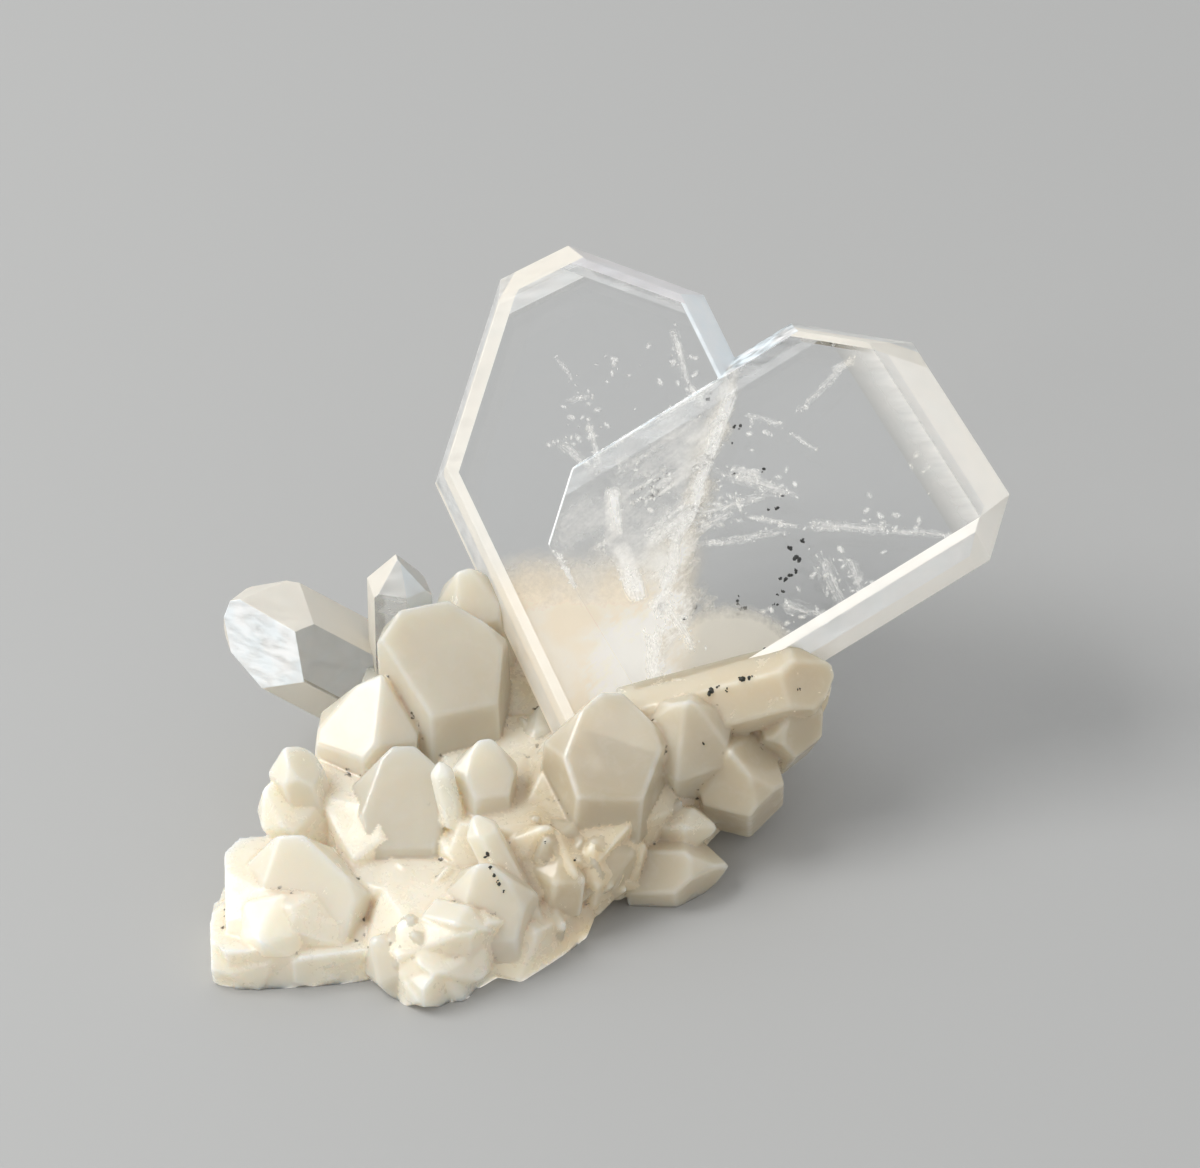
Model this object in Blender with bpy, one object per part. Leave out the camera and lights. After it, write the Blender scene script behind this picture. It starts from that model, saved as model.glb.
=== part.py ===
"""Japan law twin of quartz, grown with smaller quartz points on a loose piece of matrix.

Two flat crystals share their broad prism faces and meet at the Japan law angle, which makes the
heart. They root in a clump of milky quartz that is cut flat underneath and rests on that cut. All
of it grew together, so it is one solid. X runs to the right, Y away from the front, Z up, and the
origin is at the middle of the underside.
"""

import math
import random

import bmesh
import bpy
from mathutils import Matrix, Vector
from mathutils.bvhtree import BVHTree

MM = 0.001

# Crystal angles of quartz, in degrees, and how far a prism narrows to its end
PRISM_STEP = 60.0
RHOMB_TILT = 51.8
JAPAN_LAW = 84.55
NARROWING = 0.92

# The twin, in millimetres and degrees
TWIN_ROOT = (2.7, -6.5, 7.5)
TWIN_LEAN = 40.6
TWIN_FACING = -13.8
TWIN_ROLL = -6.8
TWIN_THICKNESS = 3.9
TWIN_SEAM = -1.2
SEAM_OVERLAP = 0.4
RIGHT_WING_STEP = 0.2
ROOT_DEPTH = 5.0

# Reach of each wing from the root, measured square to each of its edges
LEFT_INNER_PRISM = 10.7
LEFT_INNER_SIDE = 19.4
LEFT_TIP = 22.6
LEFT_OUTER_SIDE = 13.8
LEFT_OUTER_PRISM = 5.5
RIGHT_OUTER_PRISM = 3.2
RIGHT_OUTER_SIDE = 13.95
RIGHT_TIP = 19.75
RIGHT_INNER_SIDE = 19.35
RIGHT_INNER_PRISM = 12.35
RIGHT_OVERLAP_SIDE = 6.9
RIGHT_OVERLAP_TIP = 0.75

# The matrix: rough chunks of milky quartz, each a middle, a size, a turn and a seed
CHUNKS = (
    ("front_left_block", (-14.9, -16.1, 2.4), (7.2, 7.2, 6.6), 4, 3),
    ("front_heel", (-7.9, -16.8, 1.2), (8.8, 8.8, 7.2), 42, 11),
    ("left_shoulder", (-10.7, -10.6, 3.0), (8.0, 8.6, 8.0), 30, 5),
    ("middle", (-4.0, -11.0, 2.8), (10.5, 12.5, 8.4), 24, 7),
    ("root_bed", (1.3, -7.9, 3.0), (16.5, 10.0, 9.0), 46, 19),
    ("right_end", (7.0, -5.6, 6.2), (7.4, 5.4, 7.4), 10, 23),
    ("back_ledge", (-4.6, -3.2, 2.8), (15.5, 7.6, 8.4), -8, 29),
)
CHUNK_CUTS = 18
CHUNK_TRIM = (0.48, 0.62)

# The view that the crystals' turns are counted from
FRONT = (0.0, -0.79, 0.62)

# Crystals: foot, tip, width, turn of the first end face from the front, and how far some of the
# six end faces are lowered along the axis (raised where it is negative)
CRYSTALS = (
    ("clear_left_prism", (-10.0, -0.9, 2.3), (-19.3, -3.6, 10.6), 5.3, 30,
     {0: 1.5, 1: -0.4, 2: 0.5, 4: 1.9, 5: 1.8}),
    ("clear_back_point", (-9.9, -2.6, 5.0), (-9.9, -1.8, 12.6), 3.0, -15, {2: 0.5}),
    ("cream_back_point", (-5.6, -1.8, 5.0), (-6.8, -2.2, 12.0), 3.4, 10, {0: 0.6}),
    ("milky_dome", (-7.5, -6.2, 3.0), (-7.8, -4.4, 12.2), 6.0, 20,
     {0: 1.5, 1: -0.8, 4: -1.6, 5: -2.2}),
    ("left_shoulder_point", (-11.6, -8.6, 2.5), (-11.0, -6.8, 9.6), 5.0, -30, {0: 0.9, 4: 0.6}),
    ("front_hexagon", (0.0, -10.6, 3.0), (0.7, -8.9, 10.2), 5.6, 8, {0: 1.6, 1: -0.6, 5: -0.3}),
    ("seam_point", (2.6, -5.4, 6.0), (3.4, -8.9, 8.6), 2.6, 15, {0: 0.4}),
    ("centre_block", (-5.8, -12.4, 3.0), (-5.4, -11.3, 8.9), 3.0, 20, {0: 0.9}),
    ("lilac_block", (-9.4, -12.4, 2.0), (-9.5, -11.0, 8.6), 5.2, 0, {0: 1.6, 1: -0.4}),
    ("slanting_prism", (-3.4, -17.2, 2.0), (-6.1, -14.6, 6.8), 1.6, 20, {0: 0.3}),
    ("centre_sliver", (-7.0, -13.6, 5.0), (-7.7, -12.6, 8.3), 1.1, 0, {}),
    ("front_facet", (-5.2, -16.8, 0.5), (-5.6, -17.4, 6.2), 4.4, 0, {0: 0.8, 1: -0.5}),
    ("heel_point", (-6.6, -16.5, 1.0), (-8.2, -21.6, 3.0), 4.2, 10, {0: 1.2}),
    ("left_corner_block", (-14.8, -15.6, 1.0), (-15.2, -15.0, 7.6), 6.4, -6, {0: 2.6, 1: -1.0}),
    ("left_low_block", (-14.0, -15.8, 0.6), (-17.2, -18.8, 3.0), 4.8, 0, {0: 1.5}),
    ("left_upper_tooth", (-13.6, -11.8, 2.0), (-15.0, -11.6, 8.5), 2.4, 0, {1: 0.5}),
    ("left_upper_lump", (-13.6, -12.0, 2.0), (-16.1, -12.6, 6.8), 2.8, 20, {0: 0.6}),
    ("right_pointed_lump", (1.4, -12.4, 1.0), (6.8, -12.8, 1.3), 3.6, 0, {1: 0.6}),
    ("right_small_tip", (2.6, -11.2, 2.8), (5.9, -12.0, 3.3), 2.0, 30, {0: 0.3}),
    ("right_low_block", (3.0, -8.0, 2.4), (7.6, -9.4, 3.6), 4.2, 0, {0: 1.0}),
    ("right_middle_block", (3.6, -6.8, 3.6), (9.6, -7.0, 5.6), 4.6, 20, {0: 1.2}),
    ("root_rim", (1.8, -8.0, 6.4), (11.9, -6.7, 8.9), 4.6, 10, {0: 0.6, 1: -0.5}),
    ("right_end_block", (6.0, -5.8, 4.6), (12.0, -6.0, 7.4), 3.4, 0, {1: 0.8}),
    ("back_left_point", (-5.0, -3.0, 3.0), (-7.0, 2.6, 6.0), 3.2, 180, {0: 0.7}),
    ("back_middle_block", (-1.6, -3.0, 1.0), (-1.4, 1.8, 4.4), 4.2, 190, {0: 1.2}),
    ("back_low_point", (1.8, -4.4, 1.2), (4.2, 0.6, 2.6), 3.0, 170, {1: 0.4}),
    ("back_right_block", (5.4, -4.6, 3.6), (8.6, -1.0, 4.8), 3.0, 180, {0: 0.8}),
)

# How far each end face sits below the first one, as a share of the width
END_UNEVENNESS = (0.0, 0.05, 0.015, 0.065, 0.03, 0.08)

# Small points scattered over the matrix
SCATTER_SEED = 12
SCATTER_COUNT = 80
SCATTER_MIDDLE = (-4.0, -9.5, 1.5)
SCATTER_WIDTH = (0.8, 1.9)
SCATTER_RISE = (0.2, 0.9)
SCATTER_SINK = 1.6

# Middle of the underside in the coordinates above
MIDDLE = (0.635, -4.93)


def direction(degrees):
    """Unit vector in the twin's plane."""
    turn = math.radians(degrees)
    return Vector((math.cos(turn), math.sin(turn), 0.0))


def slice_off(bm, point, normal):
    """Cut away what lies beyond a plane and close the cut with one flat face."""
    cut = bmesh.ops.bisect_plane(
        bm,
        geom=bm.verts[:] + bm.edges[:] + bm.faces[:],
        plane_co=point,
        plane_no=normal,
        clear_outer=True,
    )
    rim = [item for item in cut["geom_cut"] if isinstance(item, bmesh.types.BMEdge)]
    if len(rim) > 2:
        bmesh.ops.contextual_create(bm, geom=rim)


def new_object(name, bm, collection):
    """Turn a finished bmesh into an object."""
    mesh = bpy.data.meshes.new(name)
    bmesh.ops.recalc_face_normals(bm, faces=bm.faces[:])
    if bm.calc_volume(signed=True) < 0:
        bmesh.ops.reverse_faces(bm, faces=bm.faces[:])
    bm.to_mesh(mesh)
    bm.free()
    item = bpy.data.objects.new(name, mesh)
    collection.objects.link(item)
    return item


def twin_frame():
    """Place of the twin: X and Y lie in the plates, Z is square to their broad faces."""
    return (
        Matrix.Translation(Vector(TWIN_ROOT) * MM)
        @ Matrix.Rotation(math.radians(TWIN_FACING), 4, "Z")
        @ Matrix.Rotation(math.radians(TWIN_LEAN), 4, "X")
        @ Matrix.Rotation(math.radians(TWIN_ROLL), 4, "Z")
    )


def wing(name, c_axis, edges, laps, front, back, collection):
    """One flat crystal: a block cut by its edge faces, which come in pairs that meet in a ridge.

    Each edge is its angle from the c axis and its reach. The pair slopes as prism faces beside
    the crystal, as side rhombohedrons at the shoulders and as the main ones at the tip. A lap is
    where the crystal ends square inside the other wing or in the matrix.
    """
    rhomb = math.radians(RHOMB_TILT)
    half_step = math.radians(PRISM_STEP)
    side_face = Vector((math.cos(rhomb), math.sin(rhomb) * math.sin(half_step)))
    slopes = {
        "prism": 1.0 / math.tan(half_step),
        "side": math.sin(rhomb) * math.cos(half_step) / side_face.length,
        "tip": math.tan(rhomb),
    }
    side_angle = math.degrees(math.atan2(side_face.y, side_face.x))
    turns = {"prism": 90.0, "side": side_angle, "tip": 0.0}
    bm = bmesh.new()
    bmesh.ops.create_cube(bm, size=80.0 * MM)
    slice_off(bm, Vector((0, 0, front)) * MM, Vector((0, 0, 1)))
    slice_off(bm, Vector((0, 0, -back)) * MM, Vector((0, 0, -1)))
    for angle, reach in laps:
        slice_off(bm, direction(angle) * reach * MM, direction(angle))
    for kind, hand, reach in edges:
        outward = direction(c_axis + hand * turns[kind])
        for face in (1, -1):
            slice_off(bm, outward * reach * MM, outward + Vector((0, 0, face * slopes[kind])))
    bm.transform(twin_frame())
    return new_object(name, bm, collection)


def twin_wings(collection):
    """Both wings of the heart; the right one stands a little proud and laps over the left."""
    half = TWIN_THICKNESS / 2
    left_axis = 90.0 + JAPAN_LAW / 2
    right_axis = 90.0 - JAPAN_LAW / 2
    left_edges = (
        ("prism", -1, LEFT_INNER_PRISM),
        ("side", -1, LEFT_INNER_SIDE),
        ("tip", 0, LEFT_TIP),
        ("side", 1, LEFT_OUTER_SIDE),
        ("prism", 1, LEFT_OUTER_PRISM),
    )
    right_edges = (
        ("prism", -1, RIGHT_OUTER_PRISM),
        ("side", -1, RIGHT_OUTER_SIDE),
        ("tip", 0, RIGHT_TIP),
        ("side", 1, RIGHT_INNER_SIDE),
        ("prism", 1, RIGHT_INNER_PRISM),
    )
    left_laps = ((0.0, TWIN_SEAM + SEAM_OVERLAP), (270.0, ROOT_DEPTH))
    right_laps = (
        (180.0, RIGHT_OVERLAP_SIDE),
        (right_axis + 180.0, RIGHT_OVERLAP_TIP),
        (270.0, ROOT_DEPTH),
    )
    step = RIGHT_WING_STEP
    left = wing("left_wing", left_axis, left_edges, left_laps, half - step, half, collection)
    right = wing("right_wing", right_axis, right_edges, right_laps, half, half - step, collection)
    return left, right


def quartz_point(name, foot, tip, width, turn, lowered, collection):
    """A quartz crystal: six prism faces closed by six rhombohedral faces of unlike size."""
    foot = Vector(foot) * MM
    axis = Vector(tip) * MM - foot
    length = axis.length
    axis.normalize()
    room = 3 * width * MM
    corner = width * MM / 2 / math.cos(math.radians(PRISM_STEP / 2))
    bm = bmesh.new()
    bmesh.ops.create_cone(
        bm,
        cap_ends=True,
        segments=6,
        radius1=corner,
        radius2=corner * NARROWING,
        depth=length + room,
        matrix=Matrix.Translation((0, 0, (length + room) / 2)),
    )
    rhomb = math.radians(RHOMB_TILT)
    for step in range(6):
        around = math.radians(PRISM_STEP * step)
        normal = Vector((math.cos(around), math.sin(around), 0)) * math.sin(rhomb)
        normal.z = math.cos(rhomb)
        drop = lowered.get(step, 0.0) + END_UNEVENNESS[step] * width
        slice_off(bm, Vector((0, 0, length - drop * MM)), normal)
    front = Vector(FRONT)
    front = (front - axis * front.dot(axis)).normalized()
    placed = Matrix((front, axis.cross(front), axis)).transposed().to_4x4()
    spun = Matrix.Rotation(math.radians(turn), 4, "Z")
    bm.transform(Matrix.Translation(foot) @ placed @ spun)
    return new_object(name, bm, collection)


def rough_chunk(name, middle, size, turn, seed, collection):
    """A broken lump: a block with its corners and edges knocked off at seeded angles."""
    chance = random.Random(seed)
    bm = bmesh.new()
    bmesh.ops.create_cube(bm, size=1.0)
    for _ in range(CHUNK_CUTS):
        normal = Vector([chance.uniform(-1, 1) for _ in range(3)]).normalized()
        slice_off(bm, normal * chance.uniform(*CHUNK_TRIM), normal)
    place = (
        Matrix.Translation(Vector(middle) * MM)
        @ Matrix.Rotation(math.radians(turn), 4, "Z")
        @ Matrix.Diagonal((size[0] * MM, size[1] * MM, size[2] * MM, 1.0))
    )
    bm.transform(place)
    return new_object(name, bm, collection)


def scatter_points(base, collection):
    """Small points standing on the matrix where a ray from outside meets it."""
    chance = random.Random(SCATTER_SEED)
    surface = BVHTree.FromObject(base, bpy.context.evaluated_depsgraph_get())
    points = []
    while len(points) < SCATTER_COUNT:
        around = chance.uniform(0, math.tau)
        rise = chance.uniform(-0.05, 1.0)
        ray = Vector((math.cos(around) * 1.7, math.sin(around), rise)).normalized()
        aside = Vector((chance.uniform(-10, 10), chance.uniform(-5, 5), 0))
        spot = (Vector(SCATTER_MIDDLE) + aside) * MM
        hit, normal, _, _ = surface.ray_cast(spot + ray * 60 * MM, -ray)
        if hit is None or normal.z < -0.3:
            continue
        lean = Vector([chance.uniform(-0.45, 0.45) for _ in range(3)])
        axis = (normal + Vector((0, 0, 0.35)) + lean).normalized()
        width = chance.uniform(*SCATTER_WIDTH)
        foot = hit / MM - axis * SCATTER_SINK
        tip = hit / MM + axis * chance.uniform(*SCATTER_RISE) * width
        name = "small_point_%02d" % len(points)
        lowered = {0: chance.uniform(0.0, 0.4) * width}
        turn = chance.uniform(0, PRISM_STEP)
        points.append(quartz_point(name, foot, tip, width, turn, lowered, collection))
    return points


def combine(base, others, operation):
    """Change the base's mesh with exact Booleans, one for each of the others."""
    for item in others:
        change = base.modifiers.new(item.name, "BOOLEAN")
        change.operation = operation
        change.solver = "EXACT"
        change.object = item
    depsgraph = bpy.context.evaluated_depsgraph_get()
    mesh = bpy.data.meshes.new_from_object(base.evaluated_get(depsgraph))
    base.modifiers.clear()
    base.data = mesh
    return base


def keep_largest_body(bm):
    """Drop what the Booleans left loose, such as a closed pocket between crystals."""
    unseen = set(bm.verts)
    bodies = []
    while unseen:
        front = [unseen.pop()]
        body = list(front)
        while front:
            vert = front.pop()
            for edge in vert.link_edges:
                other = edge.other_vert(vert)
                if other in unseen:
                    unseen.discard(other)
                    front.append(other)
                    body.append(other)
        bodies.append(body)
    largest = max(bodies, key=len)
    for body in bodies:
        if body is not largest:
            bmesh.ops.delete(bm, geom=body, context="VERTS")


def milky_quartz():
    """Cream quartz, a little glossy."""
    material = bpy.data.materials.new("milky_quartz")
    material.use_nodes = True
    shader = material.node_tree.nodes["Principled BSDF"]
    shader.inputs["Base Color"].default_value = (0.68, 0.62, 0.52, 1.0)
    shader.inputs["Roughness"].default_value = 0.25
    shader.inputs["Metallic"].default_value = 0.0
    return material


def floor_cutter(collection):
    """Everything under the resting plane."""
    bm = bmesh.new()
    bmesh.ops.create_cube(bm, size=100.0 * MM, matrix=Matrix.Translation((0, 0, -50.0 * MM)))
    cutter = new_object("floor_cut", bm, collection)
    cutter.hide_render = True
    cutter.display_type = "WIRE"
    return cutter


def quartz_cluster(makings):
    """The whole specimen, fused from its chunks and crystals and cut flat underneath."""
    chunks = [rough_chunk(*chunk, makings) for chunk in CHUNKS]
    cluster = combine(chunks[0], chunks[1:], "UNION")
    crystals = [quartz_point(*crystal, makings) for crystal in CRYSTALS]
    crystals += scatter_points(cluster, makings)
    combine(cluster, crystals + list(twin_wings(makings)), "UNION")
    combine(cluster, [floor_cutter(makings)], "DIFFERENCE")
    bm = bmesh.new()
    bm.from_mesh(cluster.data)
    keep_largest_body(bm)
    bm.transform(Matrix.Translation((-MIDDLE[0] * MM, -MIDDLE[1] * MM, 0)))
    bm.to_mesh(cluster.data)
    bm.free()
    cluster.name = "quartz_cluster"
    cluster.data.name = "quartz_cluster"
    cluster.data.materials.clear()
    cluster.data.materials.append(milky_quartz())
    return cluster


def main():
    for item in list(bpy.data.objects):
        bpy.data.objects.remove(item)
    model = bpy.data.collections.new("japan_law_twin_quartz")
    makings = bpy.data.collections.new("makings")
    for collection in (model, makings):
        bpy.context.scene.collection.children.link(collection)
    cluster = quartz_cluster(makings)
    makings.objects.unlink(cluster)
    model.objects.link(cluster)
    for item in list(makings.objects):
        bpy.data.objects.remove(item)


main()
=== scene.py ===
"""Looks of the Japan law twin quartz: a clear heart-shaped twin on a clump of milky quartz.

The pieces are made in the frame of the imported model, in metres, and each one is an operator of the
panel in the 3D view's sidebar.
"""

import math
import random

import bpy
import numpy as np
from bpy.props import FloatProperty, FloatVectorProperty, IntProperty, PointerProperty
from mathutils import Matrix, Vector
from mathutils.bvhtree import BVHTree


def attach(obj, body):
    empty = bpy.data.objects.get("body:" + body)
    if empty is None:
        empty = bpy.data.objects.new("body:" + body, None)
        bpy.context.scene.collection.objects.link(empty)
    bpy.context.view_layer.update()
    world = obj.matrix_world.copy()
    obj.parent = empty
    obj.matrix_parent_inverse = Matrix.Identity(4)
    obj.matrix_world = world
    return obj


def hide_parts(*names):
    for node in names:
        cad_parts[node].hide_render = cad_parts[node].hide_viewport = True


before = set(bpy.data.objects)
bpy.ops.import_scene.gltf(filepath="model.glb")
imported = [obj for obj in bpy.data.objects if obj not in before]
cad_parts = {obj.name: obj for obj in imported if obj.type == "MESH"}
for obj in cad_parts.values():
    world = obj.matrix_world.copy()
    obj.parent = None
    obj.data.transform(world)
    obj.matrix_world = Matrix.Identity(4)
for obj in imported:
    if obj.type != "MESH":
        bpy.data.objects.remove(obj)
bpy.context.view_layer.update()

bl_info = {
    "name": "Japan Law Twin Quartz",
    "version": (1, 0, 0),
    "blender": (4, 5, 0),
    "location": "View3D > Sidebar > Quartz",
    "description": "Grows a clear heart-shaped quartz twin on a clump of milky quartz",
    "category": "Add Mesh",
}

MM = 0.001

# Crystal angles of quartz in degrees, how much of its width a prism keeps at its end, the length that
# its end faces are cut from, counted in widths, and quartz's index of refraction
PRISM_STEP = 60.0
RHOMB_TILT = 51.8
JAPAN_LAW = 84.55
NARROWING = 0.92
SPARE_LENGTH = 3
QUARTZ_IOR = 1.544
LEFT_AXIS = 90.0 + JAPAN_LAW / 2
RIGHT_AXIS = 90.0 - JAPAN_LAW / 2

# Middle of the underside, in the millimetres that the tables below are written in
MIDDLE = Vector((0.635, -4.93, 0.0))

# Twin: each edge is its kind, its side of the c axis, its reach from the root in millimetres, the
# finish of its front in zones, each with its inner border counted in millimetres from the ridge, and
# the finish of its back bevel
# Zones finished cream, bright or faded are painted reflection of the window
LEFT_EDGES = (
    ("prism", -1, 10.7, ((1.2, "bluish"),), "bluish"),
    ("side", -1, 19.4, ((1.15, "lilac"), (1.6, "misty")), "lilac"),
    ("tip", 0, 22.6, ((1.42, "cream"), (2.48, "hazy")), "clear"),
    ("side", 1, 13.8, ((0.62, "striated"), (1.45, "cream")), "clear"),
    ("prism", 1, 5.5, ((0.12, "cream"), (0.65, "striated"), (1.45, "cream")), "clear"),
)
RIGHT_EDGES = (
    ("prism", -1, 3.2, ((0.5, "bright"), (1.05, "hazy"), (1.65, "bright")), "clear"),
    ("side", -1, 13.95, ((0.9, "bright"),), "clear"),
    ("tip", 0, 19.75, ((1.45, "bright"), (3.5, "faded")), "clear"),
    ("side", 1, 19.35, ((0.45, "striated"), (1.15, "cream")), "clear"),
    ("prism", 1, 12.35, ((1.125, "streaked"), (2.1, "misty")), "clear"),
)
# The straight cuts of each plate: a direction in degrees, a reach, and zones as above. The left plate
# ends at the seam, the right one runs over it with a frosted step, and both end in the root. A plate
# is cut from one block, and its faces whose normal leans forward by more than a little are its front.
TWIN_SEAM = -1.2
LEFT_CUTS = ((0.0, TWIN_SEAM + 0.4, ()), (270.0, 5.0, ()))
RIGHT_CUTS = ((180.0, 6.9, ((0.1, "frost"),)), (RIGHT_AXIS + 180.0, 0.75, ()), (270.0, 5.0, ()))
BLOCK_SIZE = 80.0
FRONT_FACING = 0.05

# Each finish of a clear face: roughness, transmission, tint and how uneven it is. Cream, bright and faded
# are painted reflection: the bright window light that the bevels reflect inside the glass is laid on the
# faces as a frosted cream, and bright is lighter still for faces turned away from the lamps.
FACE_LOOKS = {
    "clear": (0.0, 1.0, (0.99, 0.99, 0.985), 0.0),
    # Painted reflection of the window, as a frosted cream
    "cream": (0.45, 0.35, (0.95, 0.90, 0.80), 0.12),
    # Painted light: a lighter cream for faces turned away from the lamps
    "bright": (0.45, 0.18, (0.99, 0.95, 0.87), 0.12),
    "lilac": (0.5, 0.5, (0.82, 0.80, 0.81), 0.2),
    "hazy": (0.35, 0.62, (0.90, 0.89, 0.86), 0.25),
    "bluish": (0.4, 0.35, (0.87, 0.91, 0.93), 0.3),
    "striated": (0.35, 0.55, (0.88, 0.87, 0.84), 0.3),
    "streaked": (0.35, 0.45, (0.96, 0.96, 0.95), 1.6),
    "frost": (0.5, 0.1, (0.97, 0.97, 0.95), 0.1),
    "snowy": (0.4, 0.12, (0.97, 0.98, 0.98), 0.5),
    "misty": (0.22, 0.78, (0.93, 0.93, 0.92), 0.2),
    # Painted reflection that fades into clear along the right tip
    "faded": (0.35, 0.3, (0.93, 0.90, 0.84), 0.2),
}
FINISHES = tuple(FACE_LOOKS)
LINE_STRETCH = (500.0, 2400.0, 2400.0)
CLEAR_COOLING = (0.86, 0.95, 1.0)
CLEAR_INSIDE = {"Color": (0.70, 0.77, 0.83, 1.0), "Density": 25.0}

# Noise patterns: scale, detail, roughness and distortion; below that, the range that they mostly fill
PATTERNS = {
    "lines": (1.0, 4.0, 0.5, 0.0),
    "patches": (900.0, 4.0, 0.5, 0.0),
    "clouds": (320.0, 3.0, 0.5, 0.0),
    "wisps": (900.0, 6.0, 0.65, 0.3),
    "flecks": (2300.0, 2.0, 0.5, 0.0),
    "fibres": (1.0, 5.0, 0.62, 0.6),
    "grains": (4200.0, 3.0, 0.7, 0.0),
    "milk": (380.0, 3.0, 0.5, 0.0),
    "barbs": (1.0, 6.0, 0.65, 0.4),
    "specks": (3800.0, 3.0, 0.75, 0.0),
}
PATTERN_RANGE = (0.3, 0.7)

# Rough chunks of the matrix: a middle, a size, a turn in degrees and a seed
CHUNKS = (
    ((-14.9, -16.1, 1.9), (7.2, 7.2, 5.2), 4, 3),
    ((-7.9, -16.8, 1.2), (8.4, 8.4, 6.4), 42, 11),
    ((-10.7, -10.6, 2.8), (7.6, 8.2, 6.6), 30, 5),
    ((-4.0, -11.0, 2.6), (10.0, 12.0, 7.0), 24, 7),
    ((1.3, -7.9, 3.0), (16.0, 9.6, 8.0), 46, 19),
    ((7.0, -5.6, 6.2), (7.2, 5.2, 7.0), 10, 23),
    ((-4.6, -3.2, 2.8), (15.2, 7.4, 8.0), -8, 29),
    ((-15.4, -16.9, 0.9), (7.4, 6.8, 4.4), 3, 41),
    ((-8.0, -17.3, 0.6), (7.2, 7.4, 4.4), 40, 43),
    ((-3.8, -15.9, 0.8), (8.4, 6.2, 4.8), 42, 47),
    ((-10.5, -0.7, 1.4), (5.2, 6.0, 5.2), 14, 53),
    ((-12.0, -17.2, 0.6), (7.0, 5.4, 4.0), 10, 59),
    ((-16.7, -18.3, 0.8), (4.8, 4.4, 4.4), 4, 61),
    ((-8.3, -18.9, 0.4), (5.2, 5.0, 3.6), 42, 67),
    ((-11.4, -15.0, 2.0), (5.0, 5.0, 4.6), 15, 71),
)
CHUNK_CUTS = 18
CHUNK_TRIM = (0.48, 0.62)
CHUNK_SHRINK = Vector((1.2, 1.2, 1.2)) * MM
CHUNK_GROWTH = (0.4, 0.4)

# The view that the crystals' turns are counted from
FRONT = Vector((0.0, -0.79, 0.62))

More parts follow.
